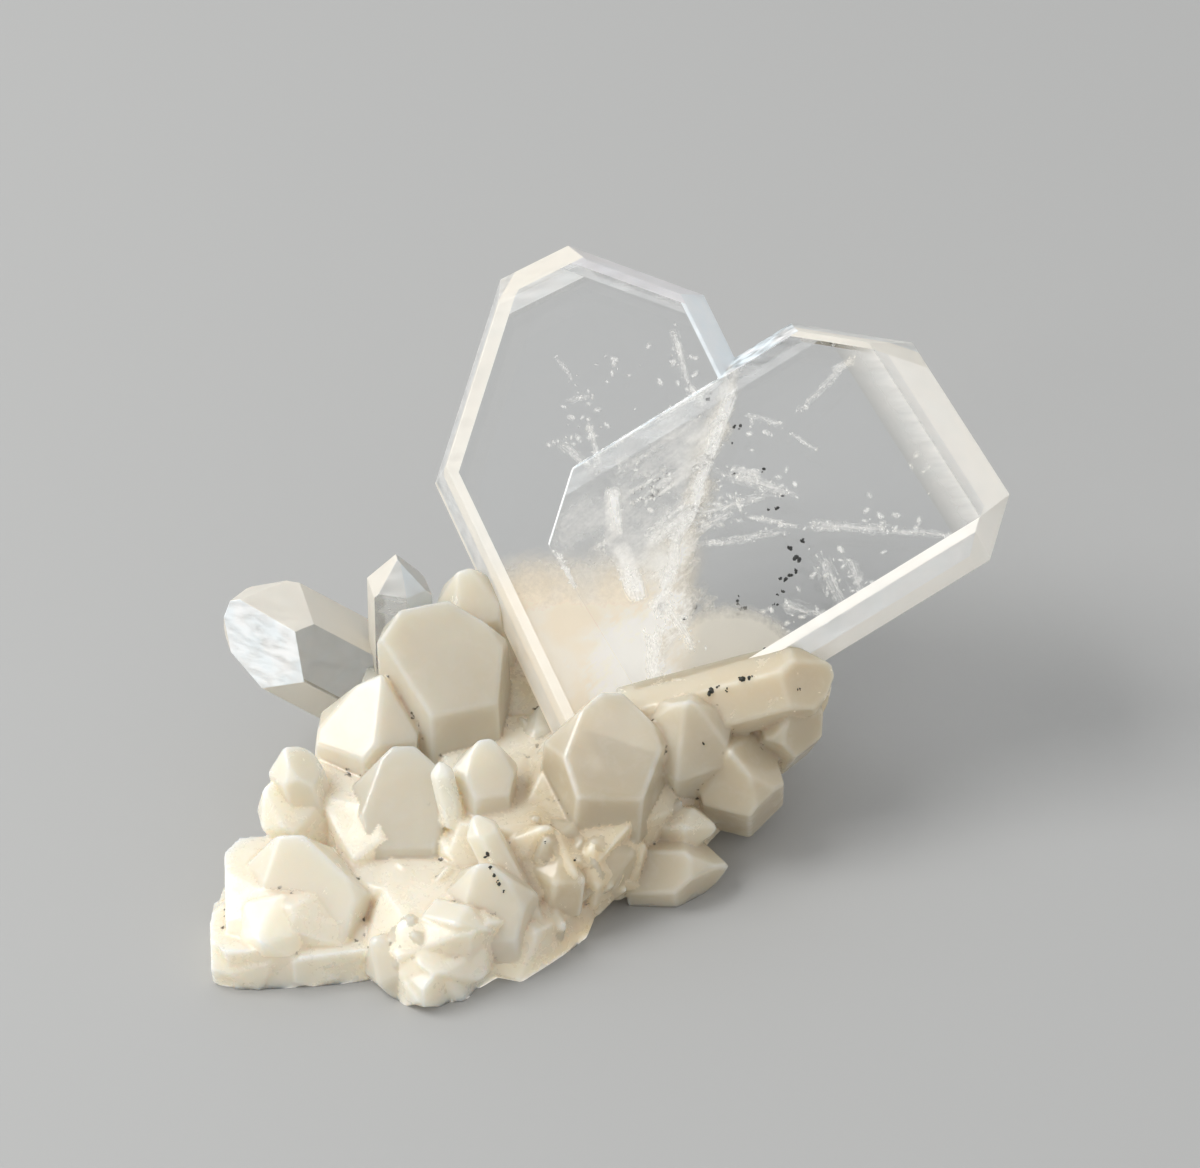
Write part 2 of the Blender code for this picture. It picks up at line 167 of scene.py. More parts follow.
# Milky crystals: name, foot, tip, width, turn of the first end face, how far some end faces are
# lowered, and how clear and how warm the crystal is, from 0 to 1
MILKY_CRYSTALS = (
    ("cream_back_point", (-5.6, -1.8, 5.0), (-6.8, -2.2, 12.0), 3.4, 10, {0: 0.6}, (0.7, 0.6)),
    ("milky_dome", (-7.5, -6.2, 3.0), (-7.8, -4.4, 12.2), 6.0, 20,
     {0: 1.5, 1: -0.8, 4: -1.6, 5: -2.2}, (0.9, 0.5)),
    ("shoulder_point", (-11.6, -8.6, 2.5), (-11.0, -6.8, 9.6), 5.0, -30, {0: 0.9, 4: 0.6}, (0.7, 0.6)),
    ("front_hexagon", (0.0, -11.3, 3.5), (0.7, -9.6, 10.8), 5.5, 8,
     {0: 1.6, 1: -0.6, 5: -0.3}, (1.0, 0.95)),
    ("seam_point", (2.6, -5.4, 6.0), (3.4, -8.9, 8.6), 2.6, 15, {0: 0.4}, (0.8, 0.2)),
    ("centre_block", (-5.8, -12.4, 3.0), (-5.4, -11.3, 8.9), 3.0, 20, {0: 0.9}, (0.7, 0.1)),
    ("lilac_block", (-9.4, -12.4, 2.0), (-9.5, -11.0, 8.6), 5.2, 0, {0: 1.6, 1: -0.4}, (1.0, 0.0)),
    ("slanting_prism", (-3.4, -17.2, 2.0), (-6.1, -14.6, 6.8), 1.6, 20, {0: 0.3}, (0.6, 0.0)),
    ("centre_sliver", (-7.0, -13.6, 5.0), (-7.7, -12.6, 8.3), 1.1, 0, {}, (0.5, 0.0)),
    ("front_facet", (-5.2, -16.8, 0.5), (-5.6, -17.4, 6.2), 4.4, 0, {0: 0.8, 1: -0.5}, (0.8, 0.0)),
    ("heel_point", (-6.6, -16.5, 1.0), (-8.2, -21.6, 3.0), 4.2, 10, {0: 1.2}, (0.3, 0.2)),
    ("left_corner_block", (-14.5, -16.2, 1.0), (-14.9, -16.0, 7.2), 7.0, -6,
     {0: 2.0, 1: -1.0, 5: 0.6}, (0.6, 0.0)),
    ("left_bright_facet", (-15.0, -16.4, 1.4), (-16.0, -20.4, 3.7), 3.2, 10, {0: 0.5}, (0.1, 0.0)),
    ("upper_tan_facet", (0.2, -9.6, 0.5), (-0.4, -12.4, 6.2), 5.2, 15, {0: 1.0, 1: 0.4}, (1.0, 0.7)),
    ("lower_tan_facet", (-1.6, -12.0, 0.5), (-1.8, -15.4, 4.2), 4.6, -10, {0: 0.8}, (0.9, 0.6)),
    ("right_tan_facet", (3.2, -8.4, 0.5), (3.6, -10.6, 5.4), 4.4, 5, {0: 0.8}, (0.9, 0.8)),
    ("left_low_block", (-14.0, -15.8, 0.6), (-17.2, -18.8, 3.0), 4.8, 0, {0: 1.5}, (0.3, 0.1)),
    ("left_upper_tooth", (-13.6, -11.8, 2.0), (-15.0, -11.6, 8.5), 2.4, 0, {1: 0.5}, (0.6, 0.0)),
    ("left_upper_lump", (-13.6, -12.0, 2.0), (-16.1, -12.6, 6.8), 2.8, 20, {0: 0.6}, (0.4, 0.1)),
    ("pointed_lump", (1.4, -12.4, 1.0), (6.8, -12.8, 1.3), 3.6, 0, {1: 0.6}, (0.9, 0.4)),
    ("right_small_tip", (2.6, -11.2, 2.8), (5.9, -12.0, 3.3), 2.0, 30, {0: 0.3}, (0.6, 0.6)),
    ("right_low_block", (3.0, -8.0, 2.4), (7.6, -9.4, 3.6), 4.2, 0, {0: 1.0}, (0.8, 0.9)),
    ("right_middle_block", (5.2, -6.4, 1.6), (6.9, -9.9, 5.4), 4.4, 8, {0: 1.0}, (0.8, 0.9)),
    ("right_far_block", (3.6, -6.8, 3.6), (9.6, -7.0, 5.6), 4.6, 20, {0: 1.2}, (0.7, 0.9)),
    ("root_rim", (1.3, -8.4, 6.8), (11.9, -7.6, 9.8), 3.4, 8, {0: 0.9, 1: -0.3}, (0.6, 0.75)),
    ("rim_left_block", (4.4, -7.2, 2.0), (4.0, -10.9, 10.4), 4.4, 14, {0: 1.0, 5: 0.6}, (0.9, 0.5)),
    ("rim_middle_block", (6.8, -7.4, 1.6), (6.6, -11.4, 7.7), 4.2, -20, {0: 0.7, 2: 0.9}, (0.8, 0.8)),
    ("rim_right_block", (8.6, -6.2, 4.0), (9.8, -9.4, 9.0), 3.2, 10, {1: 0.8}, (0.9, 0.7)),
    ("right_end_block", (6.0, -5.8, 4.6), (12.0, -6.0, 7.4), 3.4, 0, {1: 0.8}, (0.5, 0.8)),
    ("back_left_point", (-5.0, -3.0, 3.0), (-7.0, 2.6, 6.0), 3.2, 180, {0: 0.7}, (0.6, 0.4)),
    ("back_middle_block", (-1.6, -3.0, 1.0), (-1.4, 1.8, 4.4), 4.2, 190, {0: 1.2}, (0.7, 0.3)),
    ("back_low_point", (1.8, -4.4, 1.2), (4.2, 0.6, 2.6), 3.0, 170, {1: 0.4}, (0.6, 0.5)),
    ("back_right_block", (5.4, -4.6, 3.6), (8.6, -1.0, 4.8), 3.0, 180, {0: 0.8}, (0.7, 0.7)),
)

# Points standing on the chunks: how many, a seed, widths in millimetres, and how far their tips stand
# out as a share of the width; below that, how the rays that find their places are drawn
SCATTERS = (
    (150, 12, (1.8, 3.6), (0.05, 0.35)),
    (24, 31, (0.8, 1.4), (0.2, 0.6)),
)
SCATTER_LEAN = 0.4
SCATTER_LIFT = Vector((0, 0, 0.35))
SCATTER_UNDERSIDE = -0.3
SCATTER_CLEARANCE = 0.35
SCATTER_LEFT = -16.8
SCATTER_MIDDLE = Vector((-4.0, -9.5, 1.5))
SCATTER_ASIDE = (10, 5)
SCATTER_RISE = (-0.05, 1.0)
SCATTER_SIDEWAYS = 1.7
SCATTER_DISTANCE = 60.0
SCATTER_BREADTHS = ((0.8, 1.3), (0.7, 1.0))
SCATTER_CLEARNESS = (0.2, 0.9)
SMALL_LENGTH = 1.5
SMALL_EDGE = 0.04
POINT_SHAPES = (0.0, 0.13, 0.26, 0.4)

# Finishing the clump: colours laid over its milk, among them a painted highlight on the ridges, what
# makes it waxy, the scale and strength of the waves in its surface in metres, what is cut off below the
# floor, how much each smoothing takes off and how many find the hollows, how deep a full hollow is, and
# the middle of a patch of painted shade, a darker tan where a hollow face in the middle lies in shade
MILKY_CLEAR = (0.66, 0.605, 0.49, 1.0)
MILKY_WISP = (0.95, 0.92, 0.84, 1.0)
MILKY_RIDGE_HIGHLIGHT = (0.98, 0.95, 0.87, 1.0)
MILKY_FLECK = (0.14, 0.11, 0.07, 1.0)
MILKY_WAX = {
    "IOR": QUARTZ_IOR, "Subsurface Weight": 1.0, "Subsurface Radius": (1.0, 0.85, 0.7),
    "Subsurface Scale": 0.0018,
}
CLUMP_WAVES = (0.003, 0.00025)
FLOOR_CUT = 100.0
SMOOTHING, HOLLOW_SMOOTHING = 0.5, 60
FULL_HOLLOW = 0.6
PAINTED_SHADE_MIDDLE = (-1.4, -13.6, 4.0)

# Clear crystals: finishes of the six end faces and of the six sides, then as the milky ones
CLEAR_CRYSTALS = {
    "clear_side_prism": (
        ("cream", "cream", "cream", "hazy", "cream", "snowy"),
        ("clear", "cream", "cream", "hazy", "cream", "cream"),
        (-10.2, 0.2, 1.4), (-18.6, -4.9, 11.7), 4.9, 1, {0: -0.2, 1: 0.8, 2: 0.5, 4: 0.5, 5: 2.0},
    ),
    "clear_back_point": (
        ("hazy", "bluish", "hazy", "hazy", "hazy", "cream"),
        ("misty", "bluish", "hazy", "hazy", "hazy", "cream"),
        (-9.9, -2.6, 5.0), (-9.9, -1.8, 12.6), 3.0, -15, {2: 0.5},
    ),
}
END_UNEVENNESS = (0.0, 0.05, 0.015, 0.065, 0.03, 0.08)

# Stage, in metres: the floor, the sky's colours low and high, what the camera looks at, and its
# sensor's width in millimetres
FLOOR_SIZE, FLOOR_ROUGHNESS = 3.0, 0.6
SKY_LOW, SKY_HIGH = (1.15, 1.12, 1.06, 1.0), (0.62, 0.63, 0.65, 1.0)
LOOK_AT = (0.0, 0.0, 9.0)
SENSOR_WIDTH = 36.0

# Lights: name, place in metres, power in watts and size in metres
LIGHTS = (
    ("soft_window", (-0.28, -0.02, 0.38), 1.35, 0.24),
    ("left_card", (-0.40, -0.08, 0.10), 0.2, 0.20),
    ("spark", (-0.30, -0.22, 0.22), 0.08, 0.05),
)

# Inside the twin, in millimetres in its plane: black specks with their radius
SPECKS = (
    (5.1, 8.9, 0.15), (4.4, 8.4, 0.15), (4.9, 8.0, 0.17), (5.15, 7.85, 0.15), (5.1, 7.3, 0.15),
    (5.0, 7.0, 0.11), (4.8, 6.75, 0.12), (4.6, 6.7, 0.09), (4.9, 6.1, 0.09), (4.7, 5.9, 0.07),
    (4.8, 5.5, 0.08), (4.6, 5.45, 0.06), (2.9, 5.0, 0.1), (3.3, 4.9, 0.1), (3.0, 4.6, 0.12),
    (3.15, 4.75, 0.08), (2.2, 11.7, 0.13), (0.8, 11.1, 0.1), (3.4, 10.8, 0.09), (3.3, 10.1, 0.11),
    (3.1, 9.8, 0.07), (0.2, 13.4, 0.09), (0.45, 13.5, 0.09), (0.3, 12.6, 0.08), (-1.4, 14.4, 0.1),
    (-1.55, 14.8, 0.07), (0.9, 4.3, 0.11), (0.7, 3.5, 0.06), (2.2, 2.3, 0.08), (4.7, 3.5, 0.16),
    (4.85, 3.2, 0.14), (4.7, 2.8, 0.15), (4.5, 2.5, 0.1), (4.95, 3.75, 0.1), (2.9, 5.3, 0.06),
)
SPECK_DEPTH = (0.4, 1.7)

# Dark specks on the clump, dropped on it along the front view: a place in millimetres and a radius
SURFACE_SPECKS = (
    ((6.9, -6.4, 8.2), 0.2), ((7.15, -6.3, 8.2), 0.14), ((5.3, -7.1, 8.0), 0.17),
    ((5.75, -6.9, 8.1), 0.09), ((6.1, -7.0, 8.0), 0.08), ((8.0, -4.5, 9.0), 0.11),
    ((-5.4, -15.1, 4.5), 0.16), ((-5.2, -15.5, 4.2), 0.1), ((-5.0, -15.8, 4.0), 0.12),
    ((-4.8, -16.1, 3.7), 0.09), ((-4.6, -16.4, 3.4), 0.08), ((9.6, -6.0, 7.2), 0.08),
    ((5.0, -8.6, 6.0), 0.08), ((-2.6, -13.8, 4.2), 0.07), ((-1.2, -14.4, 3.6), 0.07),
)
SPECK_LOOK = {"Base Color": (0.018, 0.02, 0.014, 1.0), "Roughness": 0.45}
SPECK_SEED = 5
SPECK_PARTS = (1.0, 0.8, 0.5)
SPECK_STRETCH = (0.5, 1.2)
SPECK_DROP = 30.0


class TwinSettings(bpy.types.PropertyGroup):
    """Sizes of the clear heart-shaped twin."""

    root: FloatVectorProperty(
        name="Root", description="Where both c axes start", default=(0.0027, -0.0065, 0.0075),
        subtype="TRANSLATION", unit="LENGTH",
    )
    lean: FloatProperty(
        name="Lean", description="How far the plates stand up from the floor",
        default=math.radians(40.6), subtype="ANGLE",
    )
    facing: FloatProperty(
        name="Facing", description="Turn of the plates about the vertical",
        default=math.radians(-13.8), subtype="ANGLE",
    )
    roll: FloatProperty(
        name="Roll", description="Turn of the heart in its own plane",
        default=math.radians(-6.8), subtype="ANGLE",
    )
    thickness: FloatProperty(
        name="Thickness", description="Thickness of the plates", default=0.0039, unit="LENGTH",
    )
    edge: FloatProperty(
        name="Edge", description="Rounding of the edges", default=0.00004, unit="LENGTH",
    )
    step: FloatProperty(
        name="Step", description="How far the right plate stands proud", default=0.0002,
        unit="LENGTH",
    )


class MatrixSettings(bpy.types.PropertyGroup):
    """Sizes and colours of the milky clump."""

    bevel: FloatProperty(
        name="Edge", description="Rounding of the crystals' edges", default=0.00012, unit="LENGTH",
    )
    grain: FloatProperty(
        name="Grain", description="Mesh size of the finished surface", default=0.0001,
        unit="LENGTH",
    )
    most_faces: IntProperty(
        name="Faces", description="The most triangles that the clump may have", default=190000, min=1000,
    )
    # Milk and tan meet in a ramp from left to right that is partly painted shade: whiter toward the lamps at
    # the left, tan away from them
    milk: FloatVectorProperty(
        name="Milk", description="Colour of the milky quartz at the left", default=(0.92, 0.86, 0.72),
        subtype="COLOR", min=0.0, max=1.0,
    )
    tan: FloatVectorProperty(
        name="Tan", description="Colour of the milky quartz at the right", default=(0.70, 0.59, 0.405),
        subtype="COLOR", min=0.0, max=1.0,
    )
    # The ochre stands for stains and for painted shade in the crevices
    stain_and_shade_colour: FloatVectorProperty(
        name="Stain", description="Colour of the ochre stains", default=(0.62, 0.44, 0.26),
        subtype="COLOR", min=0.0, max=1.0,
    )


class StageSettings(bpy.types.PropertyGroup):
    """Camera, floor and light."""

    elevation: FloatProperty(
        name="Elevation", description="How far the camera looks down", default=math.radians(38.0),
        subtype="ANGLE",
    )
    distance: FloatProperty(
        name="Distance", description="From the camera to the point it looks at", default=0.2,
        unit="LENGTH",
    )
    lens: FloatProperty(
        name="Lens", description="Focal length", default=120.0, subtype="DISTANCE_CAMERA",
    )
    floor: FloatVectorProperty(
        name="Floor", description="Colour of the floor", default=(0.42, 0.42, 0.41),
        subtype="COLOR", min=0.0, max=1.0,
    )


def only(item):
    """Make one object the only one selected, and active."""
    bpy.ops.object.select_all(action="DESELECT")
    item.select_set(True)
    bpy.context.view_layer.objects.active = item


def put(row):
    """A point of the tables, in metres in the frame."""
    return (Vector(row) - MIDDLE) * MM


def added(operator, **values):
    """Run an operator that adds an object, with nothing selected, and give the object back."""
    bpy.ops.object.select_all(action="DESELECT")
    operator(**values)
    return bpy.context.object


def cut_away(item, cuts):
    """Bisect off what lies beyond each plane; the cut's own face takes the plane's finish."""
    only(item)
    bpy.ops.object.mode_set(mode="EDIT")
    for point, normal, finish in cuts:
        bpy.ops.mesh.select_all(action="SELECT")
        bpy.ops.mesh.bisect(plane_co=point, plane_no=normal, use_fill=True, clear_outer=True)
        if finish:
            item.active_material_index = finish
            bpy.ops.object.material_slot_assign()
    bpy.ops.mesh.select_all(action="SELECT")
    bpy.ops.mesh.normals_make_consistent(inside=False)
    bpy.ops.object.mode_set(mode="OBJECT")


def own_copy(item):
    """A copy of an object with a mesh of its own."""
    made = item.copy()
    made.data = item.data.copy()
    bpy.context.scene.collection.objects.link(made)
    return made


def settle(item):
    """Move the piece's place into its mesh."""
    only(item)
    bpy.ops.object.transform_apply(location=True, rotation=True, scale=True)


def apply_modifier(item, kind, **values):
    """Give an object one modifier, set it and apply it."""
    only(item)
    change = item.modifiers.new(kind.title(), kind)
    for key, value in values.items():
        setattr(change, key, value)
    bpy.ops.object.modifier_apply(modifier=change.name)


def bevel(item, width, segments=2):
    """Round the sharp edges; the width is in metres."""
    apply_modifier(item, "BEVEL", width=width, segments=segments, limit_method="ANGLE")


def finish_piece(item, material):
    """Finish a piece: give it its one material, hang it on the cluster's only body and hide the cluster's
    part that it stands for.
    """
    item.data.materials.clear()
    item.data.materials.append(material)
    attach(item, "root")
    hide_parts("quartz_cluster")


def in_plane(degrees):
    """Unit vector in the twin's plane."""
    turn = math.radians(degrees)
    return Vector((math.cos(turn), math.sin(turn), 0.0))


def turned(degrees, axis="Z"):
    """A turn about one of the axes."""
    return Matrix.Rotation(math.radians(degrees), 4, axis)


def twin_place(twin):
    """Place of the twin: X and Y lie in the plates, Z is square to their broad faces."""
    return (
        Matrix.Translation(Vector(twin.root) - MIDDLE * MM)
        @ Matrix.Rotation(twin.facing, 4, "Z")
        @ Matrix.Rotation(twin.lean, 4, "X")
        @ Matrix.Rotation(twin.roll, 4, "Z")
    )


class Nodes:
    """Adds nodes to a tree; a value that is another node's socket is linked to it."""

    def __init__(self, tree):
        self.tree = tree

    def fill(self, inputs, values):
        """Link each named socket, or give it a value of its own."""
        for key, value in values.items():
            if isinstance(value, bpy.types.NodeSocket):
                self.tree.links.new(value, inputs[key])
            else:
                inputs[key].default_value = value

    def add(self, kind, values, **settings):
        """Add one node."""
        made = self.tree.nodes.new("ShaderNode" + kind)
        for key, value in settings.items():
            setattr(made, key, value)
        self.fill(made.inputs, values)
        return made

    def places(self):
        """Where the shaded point lies, in the piece and on its UV map."""
        return self.add("TexCoord", {}).outputs

    def noted(self, name):
        """What a mesh notes on its faces or points."""
        return self.add("Attribute", {}, attribute_name=name).outputs

    def parts(self, colour):
        """The three numbers of a colour."""
        return self.add("SeparateColor", {"Color": colour}).outputs

    def noise(self, place, pattern):
        """One of the noise patterns, a number about 0.5."""
        values = zip(("Scale", "Detail", "Roughness", "Distortion"), PATTERNS[pattern])
        return self.add("TexNoise", {"Vector": place, **dict(values)}).outputs[0]

    def stretch(self, place, scale, turn=0.0):
        """Places stretched, and turned about Z."""
        values = {"Vector": place, "Rotation": (0.0, 0.0, turn), "Scale": scale}
        return self.add("Mapping", values).outputs[0]

    def apart(self, first, second):
        """The distance between two places."""
        return self.add("VectorMath", {0: first, 1: second}, operation="DISTANCE").outputs["Value"]

    def ramp(self, value, low, high, to_low=0.0, to_high=1.0):
        """A number stretched from one range to another."""
        return self.add("MapRange", {
            "Value": value, "From Min": low, "From Max": high, "To Min": to_low, "To Max": to_high,
        }).outputs["Result"]

    def swing(self, pattern, low, high):
        """A noise pattern as a number that swings from low to high."""
        return self.ramp(pattern, *PATTERN_RANGE, low, high)

    def mix(self, share, first, second):
        """A colour between two others."""
        return self.add("Mix", {0: share, 6: first, 7: second}, data_type="RGBA").outputs[2]

    def sum(self, operation, first, *others):
        """One number out of several, taken from the left."""
        for other in others:
            first = self.add("Math", {0: first, 1: other}, operation=operation).outputs[0]
        return first

    def plus(self, *values):
        return self.sum("ADD", *values)

    def minus(self, *values):
        return self.sum("SUBTRACT", *values)

    def times(self, *values):
        return self.sum("MULTIPLY", *values)

    def most(self, *values):
        return self.sum("MAXIMUM", *values)

    def weighed(self, *pairs):
        """The sum of several numbers, each times its weight."""
        return self.plus(*(self.times(value, weight) for value, weight in pairs))


def new_material(name):
    """A material, what adds nodes to it, and the inputs of its shader."""
    material = bpy.data.materials.new(name)
    material.use_nodes = True
    return material, Nodes(material.node_tree), material.node_tree.nodes["Principled BSDF"].inputs


def clear_material(place):
    """See-through quartz, shared by all clear crystals; the finish noted on each face frosts it, and on
    cream, bright and faded faces that frost is painted reflection of the window.
    """
    material, nodes, shader = new_material("clear_quartz")
    spot = nodes.places()["Object"]
    look = nodes.noted("finish")
    tint = nodes.noted("tint")["Color"]
    passed, roughness, unevenness = nodes.parts(look["Color"])

    # The faded zone along the right tip, painted reflection that turns clear toward its inner border
    _, _, reach, ((near, _), (far, _)), _ = RIGHT_EDGES[2]
    outward = (place.to_3x3() @ in_plane(RIGHT_AXIS)).normalized()
    root = outward.dot(place.translation)
    toward = nodes.add("VectorMath", {0: spot, 1: outward}, operation="DOT_PRODUCT").outputs["Value"]
    faded = nodes.ramp(toward, root + (reach - far) * MM, root + (reach - near) * MM, 1.0, 0.0)
    haze = nodes.minus(1.0, nodes.times(faded, look["Alpha"]))

    lines = nodes.noise(nodes.stretch(spot, LINE_STRETCH), "lines")
    patches = nodes.noise(spot, "patches")
    uneven = nodes.times(nodes.swing(lines, -0.5, 0.5), unevenness)
    # How much each face is frosted; on cream, bright and faded faces it is painted reflection
    frost = nodes.times(nodes.plus(nodes.minus(1.0, passed), uneven), haze)
    cooler = nodes.add("VectorMath", {0: tint, 1: CLEAR_COOLING}, operation="MULTIPLY").outputs[0]
    share = nodes.times(nodes.ramp(patches, 0.4, 0.65), unevenness)
    strength = nodes.plus(nodes.times(unevenness, 0.3), 0.015)
    bump = nodes.add("Bump", {"Height": lines, "Strength": strength, "Distance": 0.0001})
    nodes.fill(shader, {
        "Transmission Weight": nodes.minus(1.0, frost),
        "Roughness": nodes.plus(nodes.times(roughness, haze), nodes.ramp(lines, 0.4, 0.7, 0.0, 0.012)),
        "Base Color": nodes.mix(share, tint, cooler),
        "Normal": bump.outputs["Normal"],
        "IOR": QUARTZ_IOR,
    })
    inside = nodes.add("VolumeAbsorption", CLEAR_INSIDE)
    nodes.fill(nodes.tree.nodes["Material Output"].inputs, {"Volume": inside.outputs["Volume"]})
    return material


def note_finishes(item):
    """Note the finish of each face on it, in place of the material that each face had."""
    looks = [FINISHES[face.material_index] for face in item.data.polygons]
    finish = item.data.attributes.new("finish", "FLOAT_COLOR", "FACE")
    tint = item.data.attributes.new("tint", "FLOAT_COLOR", "FACE")
    for look, first, second in zip(looks, finish.data, tint.data):
        roughness, transmission, colour, unevenness = FACE_LOOKS[look]
        first.color = (transmission, roughness, unevenness, 1.0 if look == "faded" else 0.0)
        second.color = (*colour, 1.0)
    item.data.polygons.foreach_set("material_index", [0] * len(looks))


def zone_faces(item, edges):
    """Split the front of a wing into zones along its edges and give each zone its finish."""
    only(item)
    for outward, reach, zones in edges:
        for inner, _ in zones:
            for face in item.data.polygons:
                face.select = face.normal.z > FRONT_FACING
            bpy.ops.object.mode_set(mode="EDIT")
            bpy.ops.mesh.bisect(plane_co=outward * (reach - inner) * MM, plane_no=outward)
            bpy.ops.object.mode_set(mode="OBJECT")
    for face in item.data.polygons:
        if face.normal.z <= FRONT_FACING:
            continue
        depths = [(reach - face.center.dot(outward) / MM, zones) for outward, reach, zones in edges]
        inside = [(depth, *zone) for depth, zones in depths for zone in zones if depth < zone[0]]
        if inside:
            face.material_index = FINISHES.index(min(inside)[2])


def edge_turns():
    """Turn of each kind of edge from the c axis, and the slope of its two faces."""
    rhomb = math.radians(RHOMB_TILT)
    step = math.radians(PRISM_STEP)
    side = Vector((math.cos(rhomb), math.sin(rhomb) * math.sin(step)))
    slopes = {
        "prism": 1.0 / math.tan(step),
        "side": math.sin(rhomb) * math.cos(step) / side.length,
        "tip": math.tan(rhomb),
    }
    return {"prism": 90.0, "side": math.degrees(math.atan2(side.y, side.x)), "tip": 0.0}, slopes


def wing(name, c_axis, edges, straight, front, back, place):
    """One flat crystal: a block cut by its edge faces, which come in pairs that meet in a ridge."""
    turns, slopes = edge_turns()
    cuts = [(Vector((0, 0, front)), Vector((0, 0, 1)), 0), (Vector((0, 0, -back)), Vector((0, 0, -1)), 0)]
    misty = FINISHES.index("misty")
    cuts += [(in_plane(angle) * reach * MM, in_plane(angle), misty) for angle, reach, _ in straight]
    zoned = [(in_plane(angle), reach, zones) for angle, reach, zones in straight]
    for kind, hand, reach, zones, back_finish in edges:
        outward = in_plane(c_axis + hand * turns[kind])
        zoned.append((outward, reach, zones))
        for face, finish in ((1, "clear"), (-1, back_finish)):
            normal = outward + Vector((0, 0, face * slopes[kind]))
            cuts.append((outward * reach * MM, normal, FINISHES.index(finish)))
    item = added(bpy.ops.mesh.primitive_cube_add, size=BLOCK_SIZE * MM)
    item.name = name
    for _ in FINISHES:
        item.data.materials.append(None)
    cut_away(item, cuts)
    zone_faces(item, zoned)
    item.matrix_world = place
    settle(item)
    return item


def quartz_point(name, foot, tip, width, turn, lowered, ends=(0,) * 6, sides=()):
    """A quartz crystal: six prism faces closed by six rhombohedral faces of unlike size."""
    foot = put(foot)
    axis = put(tip) - foot
    length = axis.length
    axis.normalize()
    room = SPARE_LENGTH * width * MM
    corner = width * MM / 2 / math.cos(math.radians(PRISM_STEP / 2))
    item = added(
        bpy.ops.mesh.primitive_cone_add, vertices=6, radius1=corner, radius2=corner * NARROWING,
        depth=length + room, location=(0, 0, (length + room) / 2),
    )
    item.name = name
    settle(item)
    rhomb = math.radians(RHOMB_TILT)
    cuts = []
    for step in range(6):
        around = math.radians(PRISM_STEP * step)
        normal = Vector((math.cos(around), math.sin(around), 0)) * math.sin(rhomb)
        normal.z = math.cos(rhomb)
        drop = lowered.get(step, 0.0) + END_UNEVENNESS[step] * width
        cuts.append((Vector((0, 0, length - drop * MM)), normal, ends[step]))
    if sides:
        for _ in FINISHES:
            item.data.materials.append(None)
        for face in item.data.polygons:
            step = round(math.degrees(math.atan2(face.normal.y, face.normal.x)) / PRISM_STEP) % 6
            face.material_index = sides[step]
    cut_away(item, cuts)
    front = (FRONT - axis * FRONT.dot(axis)).normalized()
    placed = Matrix((front, axis.cross(front), axis)).transposed().to_4x4()
    item.matrix_world = Matrix.Translation(foot) @ placed @ turned(turn)
    settle(item)
    return item


def rough_chunk(middle, size, turn, seed):
    """A broken lump: a block with its corners and edges knocked off at seeded angles."""
    chance = random.Random(seed)
    item = added(bpy.ops.mesh.primitive_cube_add, size=1.0)
    item.name = "rough_chunk"
    cuts = []
    for _ in range(CHUNK_CUTS):
        normal = Vector([chance.uniform(-1, 1) for _ in range(3)]).normalized()
        cuts.append((normal * chance.uniform(*CHUNK_TRIM), normal, 0))
    cut_away(item, cuts)
    size = Matrix.Diagonal((*(Vector(size) * MM - CHUNK_SHRINK), 1.0))
    item.matrix_world = Matrix.Translation(put(middle)) @ turned(turn) @ size
    settle(item)
    return item


def mark_growth(item, clearness, warmth):
    """Note on a crystal's faces how clear and how warm it is."""
    layer = item.data.attributes.get("growth") or item.data.attributes.new("growth", "FLOAT_COLOR", "FACE")
    for face in layer.data:
        face.color = (clearness, warmth, 0.0, 1.0)


def small_point_shapes():
    """Small points one unit wide, with their tip at the origin, modelled once for all the copies."""
    shapes = []
    for drop in POINT_SHAPES:
        foot = MIDDLE - Vector((0, 0, SMALL_LENGTH))
        shape = quartz_point("small_point", foot, MIDDLE, 1.0, 0, {0: drop})
        bevel(shape, SMALL_EDGE * MM, 1)
        shapes.append(shape)
    return shapes


